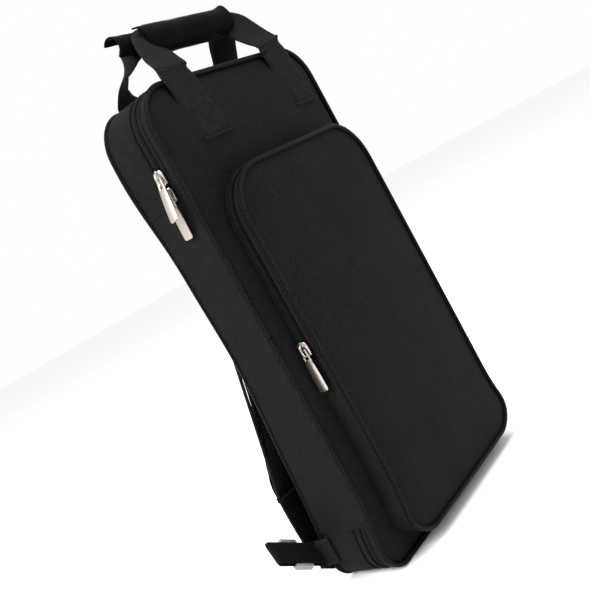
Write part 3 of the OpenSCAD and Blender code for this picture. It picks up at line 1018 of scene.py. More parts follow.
def cushion(outline: Outline, inset: float, face: float, inner: float, puff: float, roll: float,
            columns: int = 57, rows: int = 91, rumple: float = 0.0, seed: float = 1.0) -> MeshData:
    """Panel whose face swells in the middle and rolls in at its seam.

    Args:
        outline: Outline that its seam follows.
        inset: How far the seam lies inside the outline.
        face: Depth of the face.
        inner: Depth of the other side.
        puff: How far the face swells.
        roll: How far it drops at the seam.
        columns: Points across.
        rows: Points up.
        rumple: Height of its soft waves.
        seed: Shifts the waves.

    Returns:
        The mesh.
    """
    x, z = panel_grid(outline, inset, columns, rows)
    depth = np.maximum(outline.depth_inside(x, z) - inset, 0)
    out = puff * (1 - np.exp(-((depth / 20) ** 1.5))) - roll * np.exp(-depth / 3.2)
    flat = np.stack([x, np.zeros_like(x), z], axis=2)
    if rumple:
        waves = ripple(flat.reshape(-1, 3), 46.0, seed).reshape(x.shape)
        fine = ripple(flat.reshape(-1, 3), 17.0, seed + 3).reshape(x.shape)
        out = out + rumple * (waves + 0.3 * fine) * np.clip(depth / 12, 0, 1)
    towards = -1.0 if face < inner else 1.0
    upper = flat.copy()
    upper[:, :, 1] = face + towards * out
    lower = flat.copy()
    lower[:, :, 1] = inner
    data = MeshData()
    sheet_between(data, upper, lower, np.stack([x, z], axis=2))
    return data


def ribbon(data: MeshData, centre: np.ndarray, across: np.ndarray, width: np.ndarray, thick: np.ndarray,
           columns: int = 9, cup: np.ndarray | float = 0.0) -> None:
    """Adds a flat strap along a path.

    Args:
        data: Where the strap is added.
        centre: Points of its middle line.
        across: Direction of its width at each point.
        width: Its width at each point.
        thick: Its thickness at each point.
        columns: Points across.
        cup: How far its edges curl towards its lower face.
    """
    ahead = np.gradient(centre, axis=0)
    ahead /= np.linalg.norm(ahead, axis=1, keepdims=True)
    wide = across - ahead * np.sum(across * ahead, axis=1, keepdims=True)
    wide /= np.linalg.norm(wide, axis=1, keepdims=True)
    face = np.cross(ahead, wide)
    places = np.linspace(-0.5, 0.5, columns)
    edge = np.clip((0.5 - np.abs(places)) * 9, 0, 1)
    round_off = 0.35 + 0.65 * np.sqrt(1 - (1 - edge) ** 2)
    cups = np.broadcast_to(cup, width.shape)
    middle = centre[:, None, :] + wide[:, None, :] * (width[:, None] * places[None, :])[:, :, None]
    middle = middle - face[:, None, :] * (cups[:, None] * (4 * places**2)[None, :])[:, :, None]
    half = (thick[:, None] / 2 * round_off[None, :])[:, :, None] * face[:, None, :]
    s = np.concatenate([[0], np.cumsum(np.linalg.norm(np.diff(centre, axis=0), axis=1))])
    u, v = np.broadcast_arrays(places[None, :] * width.max(), s[:, None])
    sheet_between(data, middle + half, middle - half, np.stack([u, v], axis=2))


def smooth_path(points: Sequence[Sequence[float]], count: int) -> np.ndarray:
    """Curve through points, sampled evenly.

    Args:
        points: Rows of numbers that the curve passes through.
        count: Number of samples.

    Returns:
        The samples.
    """
    rows = np.array(points, float)
    padded = np.concatenate([[2 * rows[0] - rows[1]], rows, [2 * rows[-1] - rows[-2]]])
    dense = []
    for i in range(1, len(padded) - 2):
        p0, p1, p2, p3 = padded[i - 1 : i + 3]
        for t in np.linspace(0, 1, 16, endpoint=False):
            dense.append(
                0.5 * (2 * p1 + (p2 - p0) * t + (2 * p0 - 5 * p1 + 4 * p2 - p3) * t**2
                       + (3 * p1 - p0 - 3 * p2 + p3) * t**3)
            )
    dense.append(rows[-1])
    line = np.array(dense)
    s = np.concatenate([[0], np.cumsum(np.linalg.norm(np.diff(line[:, :3], axis=0), axis=1))])
    at = np.linspace(0, s[-1], count)
    return np.stack([np.interp(at, s, line[:, k]) for k in range(line.shape[1])], axis=1)


def block(data: MeshData, centre: Sequence[float], size: Sequence[float], turn: Matrix | None = None) -> None:
    """Adds a box, to be bevelled later.

    Args:
        data: Where the box is added.
        centre: Its middle.
        size: Its sides.
        turn: Rotation about its middle.
    """
    signs = [(x, y, z) for z in (-1, 1) for x, y in ((-1, -1), (1, -1), (1, 1), (-1, 1))]
    corners = [Vector([s * w / 2 for s, w in zip(sign, size)]) for sign in signs]
    if turn is not None:
        corners = [turn @ c for c in corners]
    verts = np.array([list(c + Vector(centre)) for c in corners])
    faces = [(0, 3, 2, 1), (4, 5, 6, 7), (0, 1, 5, 4), (1, 2, 6, 5), (2, 3, 7, 6), (3, 0, 4, 7)]
    data.add(verts, faces, verts[:, [0, 2]])


def prism(data: MeshData, outline: Sequence[Sequence[float]], thick: float, place: Matrix) -> None:
    """Adds a flat plate from an outline.

    Args:
        data: Where the plate is added.
        outline: Points of its outline.
        thick: Its thickness.
        place: Where its plane goes.
    """
    count = len(outline)
    verts = [place @ Vector((p[0], p[1], h)) for h in (-thick / 2, thick / 2) for p in outline]
    faces: list[tuple[int, ...]] = [tuple(reversed(range(count))), tuple(range(count, 2 * count))]
    faces += [(i, (i + 1) % count, count + (i + 1) % count, count + i) for i in range(count)]
    flat = np.array([list(v) for v in verts])
    data.add(flat, faces, flat[:, [0, 2]])


# --- cover and body


@dataclass
class Depths:
    """Depths of the layers of the main zipper, along Y."""

    rim_front: float
    tape_front: float
    coil_front: float
    body_coil: float
    body_tape: float
    gusset: float
    back: float

    @classmethod
    def from_frame(cls) -> "Depths":
        """Reads the depths from the frame's own nodes."""
        rim_low, _ = box_mm("cover_rim")
        tape_low, _ = box_mm("cover_zip_tape")
        coil_low, _ = box_mm("cover_zip_coil")
        body_coil, _ = box_mm("body_zip_coil")
        body_tape, _ = box_mm("body_zip_tape")
        gusset_low, gusset_high = box_mm("body_gusset")
        return cls(*(float(v) for v in (rim_low[1], tape_low[1], coil_low[1], body_coil[1], body_tape[1],
                                        gusset_low[1], gusset_high[1])))


@dataclass
class Cover:
    """Front panel with its rim, its half of the zipper and its piping."""

    maker: Maker
    depths: Depths
    puff: float = 2.4
    seam_roll: float = 3.2
    lip: float = 1.6

    def build(self) -> None:
        """Builds the cover."""
        z, d = self.maker.sizes, self.depths
        shell = self.maker.shell
        panel = cushion(shell, 3.2, z.front, z.front + 5.2, self.puff, self.seam_roll, 61, 101, 0.7, 2.0)
        self.maker.piece("front_panel", panel, NYLON, "cover", "outer_fabric",
                                   ("cover_panel", "cover_foam"))
        lining = cushion(shell, 4.2, z.front + 6.6, z.front + 5.6, 0.0, 0.0, 41, 61, 0.5, 5.0)
        sheet = self.maker.piece("cover_inner_lining", lining, LINING, "cover", "lining", ("cover_lining",))
        (z.width - 8) * MM
        (z.height - 8) * MM
        run = shell.run(2.6, z.seam_high + 0.4, z.seam_low - 0.4)
        rim = MeshData()
        sweep(rim, run, band(z.front + 0.8, d.tape_front + 0.4, -2.6, 1.1, 0.75, 9))
        sweep(rim, run, [(-1.3, d.tape_front - self.lip), (-1.1, d.tape_front + 0.2),
                         (-1.5, d.tape_front + 0.9), (-2.4, d.tape_front + 0.9),
                         (-2.5, d.tape_front - self.lip)])
        strip = self.maker.piece("cover_rim_band", rim, NYLON, "cover", "outer_fabric", ("cover_rim",))
        (d.tape_front - z.front + self.lip) * MM
        zipper = MeshData()
        sweep(zipper, run, band(d.tape_front + 0.2, d.coil_front + 0.5, -2.5, 0.8, -0.15, 5))
        self.maker.piece("cover_zip_band", zipper, TAPE, "cover", "zip_tape", ("cover_zip_tape",))
        teeth = MeshData()
        coil(teeth, run, -1.5, d.coil_front + 0.75, 1)
        self.maker.piece("cover_zip_teeth", teeth, COIL, "cover", "zip_coil", ("cover_zip_coil",))
        piping = MeshData()
        loop = shell.run(2.4)
        sweep(piping, loop, ring(-2.25, z.front + 0.1, z.piping_r, 14))
        self.maker.piece("front_piping_tube", piping, PIPING, "cover", "piping", ("cover_piping",))
        rows = MeshData()
        stitch_run(rows, run, -1.12, d.tape_front - 0.7)
        stitch_run(rows, run, -1.95, z.front + 3.4)
        self.maker.piece("cover_stitching", rows, THREAD, "cover", "zip_tape")


@dataclass
class Body:
    """Back panel, gussets, the body's half of the zipper and the sleeves inside."""

    maker: Maker
    depths: Depths
    puff: float = 3.0
    seam_roll: float = 2.0
    lip: float = 1.6
    hem: float = 4.0

    def build(self) -> None:
        """Builds the body."""
        self.build_zipper_and_gusset()
        self.build_hinge_panel()
        self.build_back()
        self.build_sleeves()

    def build_zipper_and_gusset(self) -> None:
        """Builds the band that runs round the body behind the zipper."""
        z, d = self.maker.sizes, self.depths
        run = self.maker.shell.run(2.6, z.seam_high, z.seam_low)
        teeth = MeshData()
        coil(teeth, run, -1.5, d.body_coil + 0.85, -1)
        self.maker.piece("body_zip_teeth", teeth, COIL, "shell", "zip_coil", ("body_zip_coil",))
        zipper = MeshData()
        sweep(zipper, run, band(d.body_coil + 1.1, d.gusset + 0.2, -2.5, 0.8, -0.15, 5))
        self.maker.piece("body_zip_band", zipper, TAPE, "shell", "zip_tape", ("body_zip_tape",))
        wall = MeshData()
        lip_at = d.gusset - self.lip
        sweep(wall, run, band(lip_at + 0.6, z.back - 0.9, -2.4, 1.2, 1.3, 15))
        sweep(wall, run, [(-1.5, lip_at - 0.2), (-1.1, lip_at + 0.4), (-1.2, lip_at + self.lip + 0.4),
                          (-2.5, lip_at + self.lip + 0.4), (-2.4, lip_at - 0.2)])
        gusset = self.maker.piece("gusset_band", wall, NYLON, "shell", "outer_fabric", ("body_gusset",))
        (z.back - d.gusset + self.lip) * MM
        rows = MeshData()
        stitch_run(rows, run, -1.02, lip_at + 1.1)
        stitch_run(rows, run, -1.6, z.back - 4.0)
        self.maker.piece("gusset_stitching", rows, THREAD, "shell", "zip_tape")

    def build_hinge_panel(self) -> None:
        """Builds the plain stretch of gusset that the cover turns on."""
        z = self.maker.sizes
        columns, rows = 25, 101
        v = np.linspace(z.front + 1.4, z.back - 0.9, columns)
        up = np.linspace(z.seam_low - self.hem, z.seam_high + self.hem, rows)
        grid_v, grid_z = np.meshgrid(v, up)
        half = self.maker.shell.half_width(grid_z, 0.0)
        share = (grid_v - v[0]) / (v[-1] - v[0])
        ends = np.minimum(grid_z - up[0], up[-1] - grid_z)
        swell = 1.2 * (1 - (2 * share - 1) ** 4) * np.clip(ends / 30, 0, 1) + 0.7
        places = np.stack([-half, grid_v, grid_z], axis=2)
        waves = ripple(places.reshape(-1, 3), 38.0, 4.0).reshape(half.shape)
        swell = swell + 0.45 * waves * np.clip(ends / 20, 0, 1)
        hem = 0.5 * (ends < self.hem * 1.6)
        upper, lower = places.copy(), places.copy()
        upper[:, :, 0] = -half + 2.4 - swell - hem
        lower[:, :, 0] = -half + 3.4 - swell
        data = MeshData()
        sheet_between(data, upper, lower, np.stack([grid_v, grid_z], axis=2))
        panel = self.maker.piece("hinge_panel", data, NYLON, "shell", "outer_fabric", ("hinge_gusset",))
        stitches = MeshData()
        for height in (up[0] + self.hem * 1.2, up[-1] - self.hem * 1.2):
            line = np.array([[0.0, y, height] for y in np.arange(v[0] + 2, v[-1] - 2, 1.0)])
            line[:, 0] = -self.maker.shell.half_width(line[:, 2], 0.0) + 1.15
            stitch_path(stitches, line)
        self.maker.piece("hinge_stitching", stitches, THREAD, "shell", "zip_tape")

    def build_back(self) -> None:
        """Builds the padded back with its piping and lining."""
        z = self.maker.sizes
        shell = self.maker.shell
        back = cushion(shell, 3.2, z.back, z.back - 5.2, self.puff, self.seam_roll, 61, 101, 0.8, 9.0)
        self.maker.piece("back_cushion", back, NYLON, "shell", "outer_fabric",
                                   ("back_panel", "back_foam"))
        lining = cushion(shell, 4.2, z.back - 6.6, z.back - 5.6, 0.0, 0.0, 41, 61, 0.4, 11.0)
        sheet = self.maker.piece("back_inner_lining", lining, LINING, "shell", "lining", ("back_lining",))
        (z.width - 8) * MM
        (z.height - 8) * MM
        piping = MeshData()
        sweep(piping, shell.run(2.4), ring(-2.25, z.back - 0.1, z.piping_r, 14))
        self.maker.piece("back_piping_tube", piping, PIPING, "shell", "piping", ("back_piping",))

    def build_sleeves(self) -> None:
        """Builds the row of stick sleeves: one cloth sewn down between the sleeves, bound at the top."""
        low, high = box_mm("stick_sleeves")
        count = 5
        width = high[0] - low[0]
        columns, rows = 20 * count + 1, 28
        across = np.linspace(0, 1, columns)
        up = np.linspace(0, 1, rows)
        grid_a, grid_u = np.meshgrid(across, up)
        arch = np.abs(np.sin(math.pi * count * grid_a)) ** 0.55
        bulge = (high[1] - low[1] - 2.2) * arch * (0.25 + 0.75 * np.clip(grid_u / 0.16, 0, 1) ** 0.6)
        x = low[0] + width * grid_a
        z = low[2] + (high[2] - low[2]) * grid_u
        outer = np.stack([x, high[1] - 1.2 - bulge, z], axis=2)
        inner = np.stack([x, high[1] - 0.4 - bulge, z], axis=2)
        data = MeshData()
        sheet_between(data, outer, inner, np.stack([x, z], axis=2))
        row = self.maker.piece("sleeve_row", data, LINING, "shell", "lining", ("stick_sleeves",))
        binding = MeshData()
        top = np.linspace(high[2] - 13.5, high[2] + 0.4, 8)
        grid_x, grid_t = np.meshgrid(x[0], top)
        edge = np.broadcast_to(outer[-1, :, 1][None, :], grid_x.shape)
        hood = 0.35 * (1 - (2 * (grid_t - top[0]) / (top[-1] - top[0]) - 1) ** 4)
        sheet_between(binding, np.stack([grid_x, edge - 0.5 - hood, grid_t], axis=2),
                      np.stack([grid_x, edge + 0.1, grid_t], axis=2), np.stack([grid_x, grid_t], axis=2))
        tape = self.maker.piece("sleeve_binding_tape", binding, TAPE, "shell", "webbing", ("sleeve_binding",))
        seams = MeshData()
        for k in range(count + 1):
            at = low[0] + width * k / count
            line = np.array([[at, high[1] - 1.5, h] for h in np.arange(low[2] + 2, high[2] - 2, 1.0)])
            stitch_path(seams, line)
        self.maker.piece("sleeve_stitching", seams, THREAD, "shell", "zip_tape")


# --- front pocket


def part_of(run: Run, first: int, last: int) -> Run:
    """Open stretch of a run between two of its points."""
    cut = slice(first, last)
    return Run(run.x[cut], run.z[cut], run.nx[cut], run.nz[cut], run.s[cut] - run.s[first], False)


@dataclass
class FrontPocket:
    """Zipped pocket whose upper half folds down."""

    maker: Maker
    outline: Outline
    fold: float
    base: float
    coil: float
    flap_coil: float
    flap_tape: float
    flap_rim: float
    face: float

    @classmethod
    def from_frame(cls, maker: Maker) -> "FrontPocket":
        """Reads the pocket's place from the frame."""
        low, high = box_mm("pocket_gusset")
        flap_low, _ = box_mm("flap_panel")
        panel_low, _ = box_mm("pocket_lower_panel")
        _, tape_high = box_mm("pocket_zip_tape")
        _, coil_high = box_mm("pocket_zip_coil")
        _, flap_coil = box_mm("flap_zip_coil")
        _, flap_tape = box_mm("flap_zip_tape")
        _, rim = box_mm("flap_rim")
        outline = Outline(float(high[0] - low[0]), float(high[2] - low[2]), 46.0, 34.0,
                          float(high[0] + low[0]) / 2, float(low[2]))
        return cls(maker, outline, float(flap_low[2]), float(tape_high[1]), float(coil_high[1]),
                   float(flap_coil[1]), float(flap_tape[1]), float(rim[1]), float(panel_low[1]))

    def runs(self) -> tuple[Run, Run]:
        """Upper stretch, above the fold, and lower stretch, below it."""
        whole = self.outline.run(2.2, self.fold, self.fold)
        below = np.nonzero(whole.z < self.fold - 0.6)[0]
        return part_of(whole, 0, int(below[0])), part_of(whole, int(below[0]) - 1, len(whole.s))

    def build(self) -> None:
        """Builds the pocket."""
        upper, lower = self.runs()
        z = self.maker.sizes
        wall = MeshData()
        foot = z.front + 2.6
        sweep(wall, upper, band(foot, self.base + 0.3, -2.6, 1.1, 0.3, 7))
        sweep(wall, upper, [(-1.5, self.base + 1.7), (-1.2, self.base + 0.1), (-1.7, self.base - 0.5),
                            (-2.7, self.base - 0.5), (-2.7, self.base + 1.7)])
        sweep(wall, lower, band(foot, self.face + 1.4, -2.6, 1.2, 0.5, 17))
        side = self.maker.piece("pocket_wall_band", wall, NYLON, "cover", "outer_fabric", ("pocket_gusset",))
        bands = (
            ("pocket_zip_band_lower", self.base, self.coil - 0.6, "cover", "pocket_zip_tape"),
            ("flap_zip_band", self.flap_coil - 1.3, self.flap_tape - 4.4, "pocket_flap", "flap_zip_tape"),
        )
        for name, near, far, body, node in bands:
            data = MeshData()
            sweep(data, upper, band(near, far, -2.5, 0.8, -0.1, 5))
            self.maker.piece(name, data, TAPE, body, "zip_tape", (node,))
        rows = (
            ("pocket_zip_teeth_lower", self.coil - 0.75, 1, "cover", "pocket_zip_coil"),
            ("flap_zip_teeth", self.flap_coil - 0.85, -1, "pocket_flap", "flap_zip_coil"),
        )
        for name, depth, turn, body, node in rows:
            data = MeshData()
            coil(data, upper, -1.5, depth, turn)
            self.maker.piece(name, data, COIL, body, "zip_coil", (node,))
        rim = MeshData()
        inner = self.flap_rim + 0.3
        sweep(rim, upper, band(inner, self.face + 1.4, -2.5, 1.1, 0.5, 7))
        sweep(rim, upper, [(-1.4, inner + 0.3), (-1.2, inner - 1.0), (-1.3, inner - 1.6),
                           (-2.5, inner - 1.6), (-2.5, inner + 0.5)])
        self.maker.piece("flap_rim_band", rim, NYLON, "pocket_flap", "outer_fabric", ("flap_rim",))
        self.build_front()
        stitches, flap_stitches = MeshData(), MeshData()
        stitch_run(stitches, upper, -1.1, self.base + 0.9)
        stitch_run(flap_stitches, upper, -1.1, inner - 0.9)
        self.maker.piece("pocket_stitching", stitches, THREAD, "cover", "zip_tape")
        self.maker.piece("flap_stitching", flap_stitches, THREAD, "pocket_flap", "zip_tape")

    def build_front(self) -> None:
        """Builds the pocket's front and its piping, each as one piece that is attached to no body."""
        data = cushion(self.outline, 3.0, self.face, self.face + 1.3, 2.6, 1.7, 61, 101, 0.9, 6.0)
        front = self.maker.piece("pocket_front_sheet", data, NYLON, None, "outer_fabric",
                                 ("pocket_lower_panel", "flap_panel"))
        self.outline.width * MM
        self.outline.height * MM
        tube_data = MeshData()
        sweep(tube_data, self.outline.run(2.2), ring(-2.2, self.face - 0.1, self.maker.sizes.piping_r, 14))
        piping = self.maker.piece("pocket_piping_tube", tube_data, PIPING, None, "piping",
                                  ("pocket_lower_piping", "flap_piping"))
        for piece in (front, piping):
            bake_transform(piece)


# --- carry handle


@dataclass
class CarryHandle:
    """Two webbing handles gathered in one padded grip."""

    maker: Maker
    middle: float
    grip_z: float
    half_grip: float
    foot_z: float
    span: float
    web_w: float
    web_t: float = 2.0
    grip_r: float = 13.4
    # Share of the full-width strip that is left where the webbing narrows inside the grip.
    area_share: float = 0.84

    @classmethod
    def from_frame(cls, maker: Maker) -> "CarryHandle":
        """Reads the handle's place from the frame."""
        low, high = box_mm("grip_wrap")
        web_low, web_high = box_mm("front_handle")
        web_w = 38.0
        return cls(maker, float(low[0] + high[0]) / 2, float(low[2] + high[2]) / 2,
                   float(high[0] - low[0]) / 2, float(web_low[2]),
                   float(web_high[0] - web_low[0]) - web_w, web_w)

    def strap(self, rows: Sequence[Sequence[float]], turn: float) -> MeshData:
        """Builds one handle's webbing.

        Args:
            rows: Rows of x, y, z, width, thickness and the direction of its width.
            turn: +1 or -1, the side that its narrow stretch curls to.

        Returns:
            The mesh.
        """
        line = smooth_path(rows, 190)
        data = MeshData()
        curl = np.clip((34 - line[:, 3]) / 14, 0, 1) * 2.6
        ribbon(data, line[:, :3], line[:, 5:8], line[:, 3], line[:, 4], 11, curl * turn)
        return data

    def build(self) -> None:
        """Builds both handles, the wrap and its closing flap."""
        self.build_front()
        self.build_back()
        self.build_wrap()

    def feet(self, name: str, body: str, face: float, towards: float) -> None:
        """Builds the stitched boxes of one handle's two feet.

        Args:
            name: Name of the handle.
            body: The body that it moves with.
            face: Depth of the webbing's face.
            towards: +1 or -1, the side that the face looks to.
        """
        data = MeshData()
        for side in (-1, 1):
            x = self.middle + side * self.span / 2
            corners = [(-15.5, 4.5), (15.5, 4.5), (15.5, 31.0), (-15.5, 31.0), (-15.5, 4.5), (15.5, 31.0)]
            points = [np.array([x + a, face, self.foot_z + b]) for a, b in corners]
            for start, end in [*zip(points, points[1:]), (points[1], points[3])]:
                line = np.linspace(start, end, 40)
                moved = self.maker.settle(line)
                moved[:, 1] += towards * 0.2
                stitch_path(data, moved, 2.8, 0.34)
        self.maker.piece(f"{name}_handle_stitching", data, THREAD, body, "webbing", settled=False)

    def legs(self, face: float, out: float, lean: float) -> tuple[list[list[float]], list[list[float]]]:
        """Rows of the two legs of one handle.

        Args:
            face: Depth of the panel that it is sewn to.
            out: +1 or -1, the side that the panel looks to.
            lean: How far the legs lean across at the top of the bag.

        Returns:
            Rows of the left and of the right leg, each from the hem up.
        """
        stations = (0.0, 6.0, 22.0, 40.0, 52.0, 58.0, 64.0)
        pairs: list[list[list[float]]] = []
        for side in (-1, 1):
            rows = []
            for rise in stations:
                x = self.middle + side * self.span / 2
                over = 2.6 * min(1.0, max(0.0, (rise - 40.0) / 16.0))
                y = self.maker.moved(x, face, self.foot_z + rise)[1] + out * (1.2 + over)
                drift = lean * max(0.0, (rise - 28.0) / 36.0)
                rows.append([x + drift, y, self.foot_z + rise, self.web_w, self.web_t, 1.0, 0.0, 0.0])
            pairs.append(rows)
        return pairs[0], pairs[1]

    def build_front(self) -> None:
        """Builds the handle sewn to the front panel."""
        z = self.maker.sizes
        left, right = self.legs(z.front - 0.6, -1.0, -10.0)
        x0, x1, up = self.middle - self.half_grip, self.middle + self.half_grip, self.grip_z
        top, foot_l, foot_r = z.height, self.middle - self.span / 2, self.middle + self.span / 2
        rows = left + [
            [foot_l - 10.5, -34.5, top + 9, 38.0, 2.0, 1.0, -0.05, 0.0],
            [foot_l - 6.0, -26.5, top + 20, 37.0, 2.0, 0.98, -0.1, -0.1],
            [foot_l - 1.0, -18.5, top + 32, 35.0, 2.0, 0.9, -0.15, -0.3],
            [foot_l + 5, -11.5, top + 41, 31.0, 2.2, 0.6, -0.2, -0.7],
            [x0 + 3, -6.5, up, 23.0, 2.8, 0.1, 0.0, -1.0],
            [x0 + 16, -4.7, up, 17.0, 3.8, 0.0, 0.0, -1.0],
            [self.middle, -4.7, up, 17.0, 3.8, 0.0, 0.0, -1.0],
            [x1 - 18, -4.7, up, 17.0, 3.8, 0.0, 0.0, -1.0],
            [x1 - 5, -5.6, up - 0.5, 21.0, 3.2, -0.1, 0.05, -1.0],
            [x1 + 1, -9.0, up - 5, 28.0, 2.4, -0.5, 0.1, -0.8],
            [foot_r - 14, -16.0, top + 31, 34.0, 2.0, -0.85, 0.1, -0.5],
            [foot_r - 12.5, -26.5, top + 16, 37.0, 2.0, -0.95, 0.05, -0.25],
            [foot_r - 12.0, -34.5, top + 6, 38.0, 2.0, -0.98, 0.0, -0.15],
        ] + [[*row[:5], -1.0, 0.0, 0.0] for row in reversed(right)]
        data = self.strap(rows, -1.0)
        for side in (-1, 1):
            x = self.middle + side * self.span / 2
            y = self.maker.moved(x, z.front, self.foot_z)[1]
            line = np.array([[x - 19.2 + 38.4 * t, y - 3.2, self.foot_z + 2.4]
                             for t in np.linspace(0, 1, 20)])
            tube(data, line, 1.5, 10, False)
        self.sew_on("front", data, rows, "cover")
        self.feet("front", "cover", z.front - 3.4, -1.0)

    def build_back(self) -> None:
        """Builds the handle sewn to the back panel, which bulges past the grip's left end."""
        z = self.maker.sizes
        left, right = self.legs(z.back + 0.6, 1.0, -7.0)
        x0, x1, up = self.middle - self.half_grip, self.middle + self.half_grip, self.grip_z
        top, foot_l, foot_r = z.height, self.middle - self.span / 2, self.middle + self.span / 2
        rows = left + [
            [foot_l - 10, 33.0, top + 9, 34.0, 2.0, 0.97, 0.25, 0.0],
            [foot_l - 11.5, 28.5, top + 17, 28.0, 2.1, 0.85, 0.5, 0.0],
            [foot_l - 8, 20.0, top + 27, 24.0, 2.3, 0.7, 0.7, 0.05],
            [foot_l - 6, 10.5, top + 36, 22.0, 2.6, 0.3, 0.6, 0.7],
            [foot_l + 1, 6.0, top + 43, 20.0, 3.0, 0.0, 0.25, 0.95],
            [x0 + 8, 4.7, up, 16.0, 3.8, 0.0, 0.0, 1.0],
            [self.middle, 4.7, up, 16.0, 3.8, 0.0, 0.0, 1.0],
            [x1 - 16, 4.7, up, 16.0, 3.8, 0.0, 0.0, 1.0],
            [x1 - 4, 5.4, up - 0.5, 20.0, 3.4, -0.1, 0.0, 1.0],
            [x1 + 2, 9.0, up - 6, 26.0, 2.6, -0.5, -0.1, 0.85],
            [foot_r - 11, 16.0, top + 30, 32.0, 2.2, -0.85, 0.0, 0.5],
            [foot_r - 8, 24.0, top + 17, 35.0, 2.0, -0.96, 0.0, 0.25],
            [foot_r - 7, 32.0, top + 8, 37.0, 2.0, -1.0, 0.0, 0.05],
        ] + [[*row[:5], -1.0, 0.0, 0.0] for row in reversed(right)]
        self.sew_on("back", self.strap(rows, 1.0), rows, "shell")
        self.feet("back", "shell", z.back + 3.4, 1.0)

    def sew_on(self, name: str, data: MeshData, rows: Sequence[Sequence[float]], body: str) -> None:
        """Args:
            name: Name of the handle.
            data: The webbing's mesh.
            rows: The rows that it was built through.
            body: The body that it moves with.
        """
        piece = self.maker.piece(f"{name}_handle_webbing", data, WEBBING, body, "webbing",
                                 (f"{name}_handle",), settled=False)
        line = smooth_path(rows, 190)[:, :3]
        length = float(np.linalg.norm(np.diff(line, axis=0), axis=1).sum())
        self.web_w * MM
        self.area_share * self.web_w * length * MM * MM

    def shell_sheet(self, x0: float, x1: float, start: float, end: float, radius: float, thick: float,
                    seed: float, flare: Callable[[np.ndarray, np.ndarray], np.ndarray]) -> MeshData:
        """Part of a tube round the grip.

        Args:
            x0: Left end.
            x1: Right end.
            start: First angle in degrees, 0 to the back and 90 up.
            end: Last angle.
            radius: Outer radius.
            thick: Wall thickness.
            seed: Shifts the dents.
            flare: Extra radius by share of length and share of the turn.

        Returns:
            The mesh.
        """
        along = np.linspace(0, 1, 61)
        turn = np.linspace(0, 1, 41)
        grid_t, grid_a = np.meshgrid(turn, along)
        angle = np.radians(start + (end - start) * grid_t)
        x = x0 + (x1 - x0) * grid_a
        places = np.stack([x, radius * np.cos(angle), radius * np.sin(angle)], axis=2)
        dents = ripple(places.reshape(-1, 3), 24.0, seed).reshape(x.shape)
        dents = dents + 0.5 * ripple(places.reshape(-1, 3), 9.0, seed + 2).reshape(x.shape)
        outer = radius + 0.65 * dents + flare(grid_a, grid_t)
        upper = np.stack([x, outer * np.cos(angle), self.grip_z + outer * np.sin(angle)], axis=2)
        inner = outer - thick
        lower = np.stack([x, inner * np.cos(angle), self.grip_z + inner * np.sin(angle)], axis=2)
        data = MeshData()
        sheet_between(data, upper, lower, np.stack([x, radius * angle], axis=2))
        return data

    def build_wrap(self) -> None:
        """Builds the wrap, open to the back, and the flap that closes it."""
        x0, x1 = self.middle - self.half_grip, self.middle + self.half_grip
        flap_start, flap_end, flap_r = 96, 251, self.grip_r + 1.7

        def ends(share: np.ndarray, turn: np.ndarray) -> np.ndarray:
            """The wrap draws in at both ends."""
            return -1.5 * np.exp(-share / 0.04) - 1.0 * np.exp(-(1 - share) / 0.04)

        def flap_ends(share: np.ndarray, turn: np.ndarray) -> np.ndarray:
            """The flap lifts at its right end and at its free edge."""
            corner = 3.2 * np.exp(-(1 - share) / 0.05) * np.exp(-((turn - 0.12) ** 2) / 0.03)
            sag = -1.3 * hump(share, 0.42, 0.16) * hump(turn, 0.75, 0.3)
            return corner + sag + 0.7 * np.exp(-(1 - turn) / 0.05) - 0.6 * np.exp(-share / 0.05)

        def crumple(share: np.ndarray, turn: np.ndarray) -> np.ndarray:
            """The inner layer's free end is creased."""
            return 0.9 * np.sin(5 * turn + 2 * share) * (1 - share)

        wrap = self.shell_sheet(x0 - 8, x1, 26, 334, self.grip_r - 0.4, 2.2, 2.0, ends)
        tongue = self.shell_sheet(x0 - 42, x0 - 10, 40, 252, self.grip_r - 3.0, 2.0, 5.0, crumple)
        wrap.add(tongue.points(), tongue.faces, np.concatenate(tongue.uvs))
        roll = self.maker.piece("grip_wrap_roll", wrap, GRIP, "cover", "outer_fabric", ("grip_wrap",),
                                settled=False)
        flap = self.shell_sheet(x0 - 9.0, x1 + 1.0, flap_start, flap_end, flap_r, 1.5, 8.0, flap_ends)
        sheet = self.maker.piece("grip_flap_sheet", flap, GRIP, "grip_closure", "outer_fabric",
                                 ("grip_flap",), settled=False)
        hem = MeshData()
        hem_r = self.grip_r + 2.0
        for share in (0.03, 0.97):
            angle = math.radians(flap_start + (flap_end - flap_start) * share)
            line = np.array([[x, hem_r * math.cos(angle), self.grip_z + hem_r * math.sin(angle)]
                             for x in np.arange(x0 + 4, x1 - 4, 1.0)])
            stitch_path(hem, line)
        self.maker.piece("grip_flap_stitching", hem, THREAD, "grip_closure", "webbing", settled=False)


# --- sliders and pulls


# Stands a flat outline up against the left side.
UPRIGHT = Matrix(((0, 0, -1), (1, 0, 0), (0, 1, 0))).to_4x4()


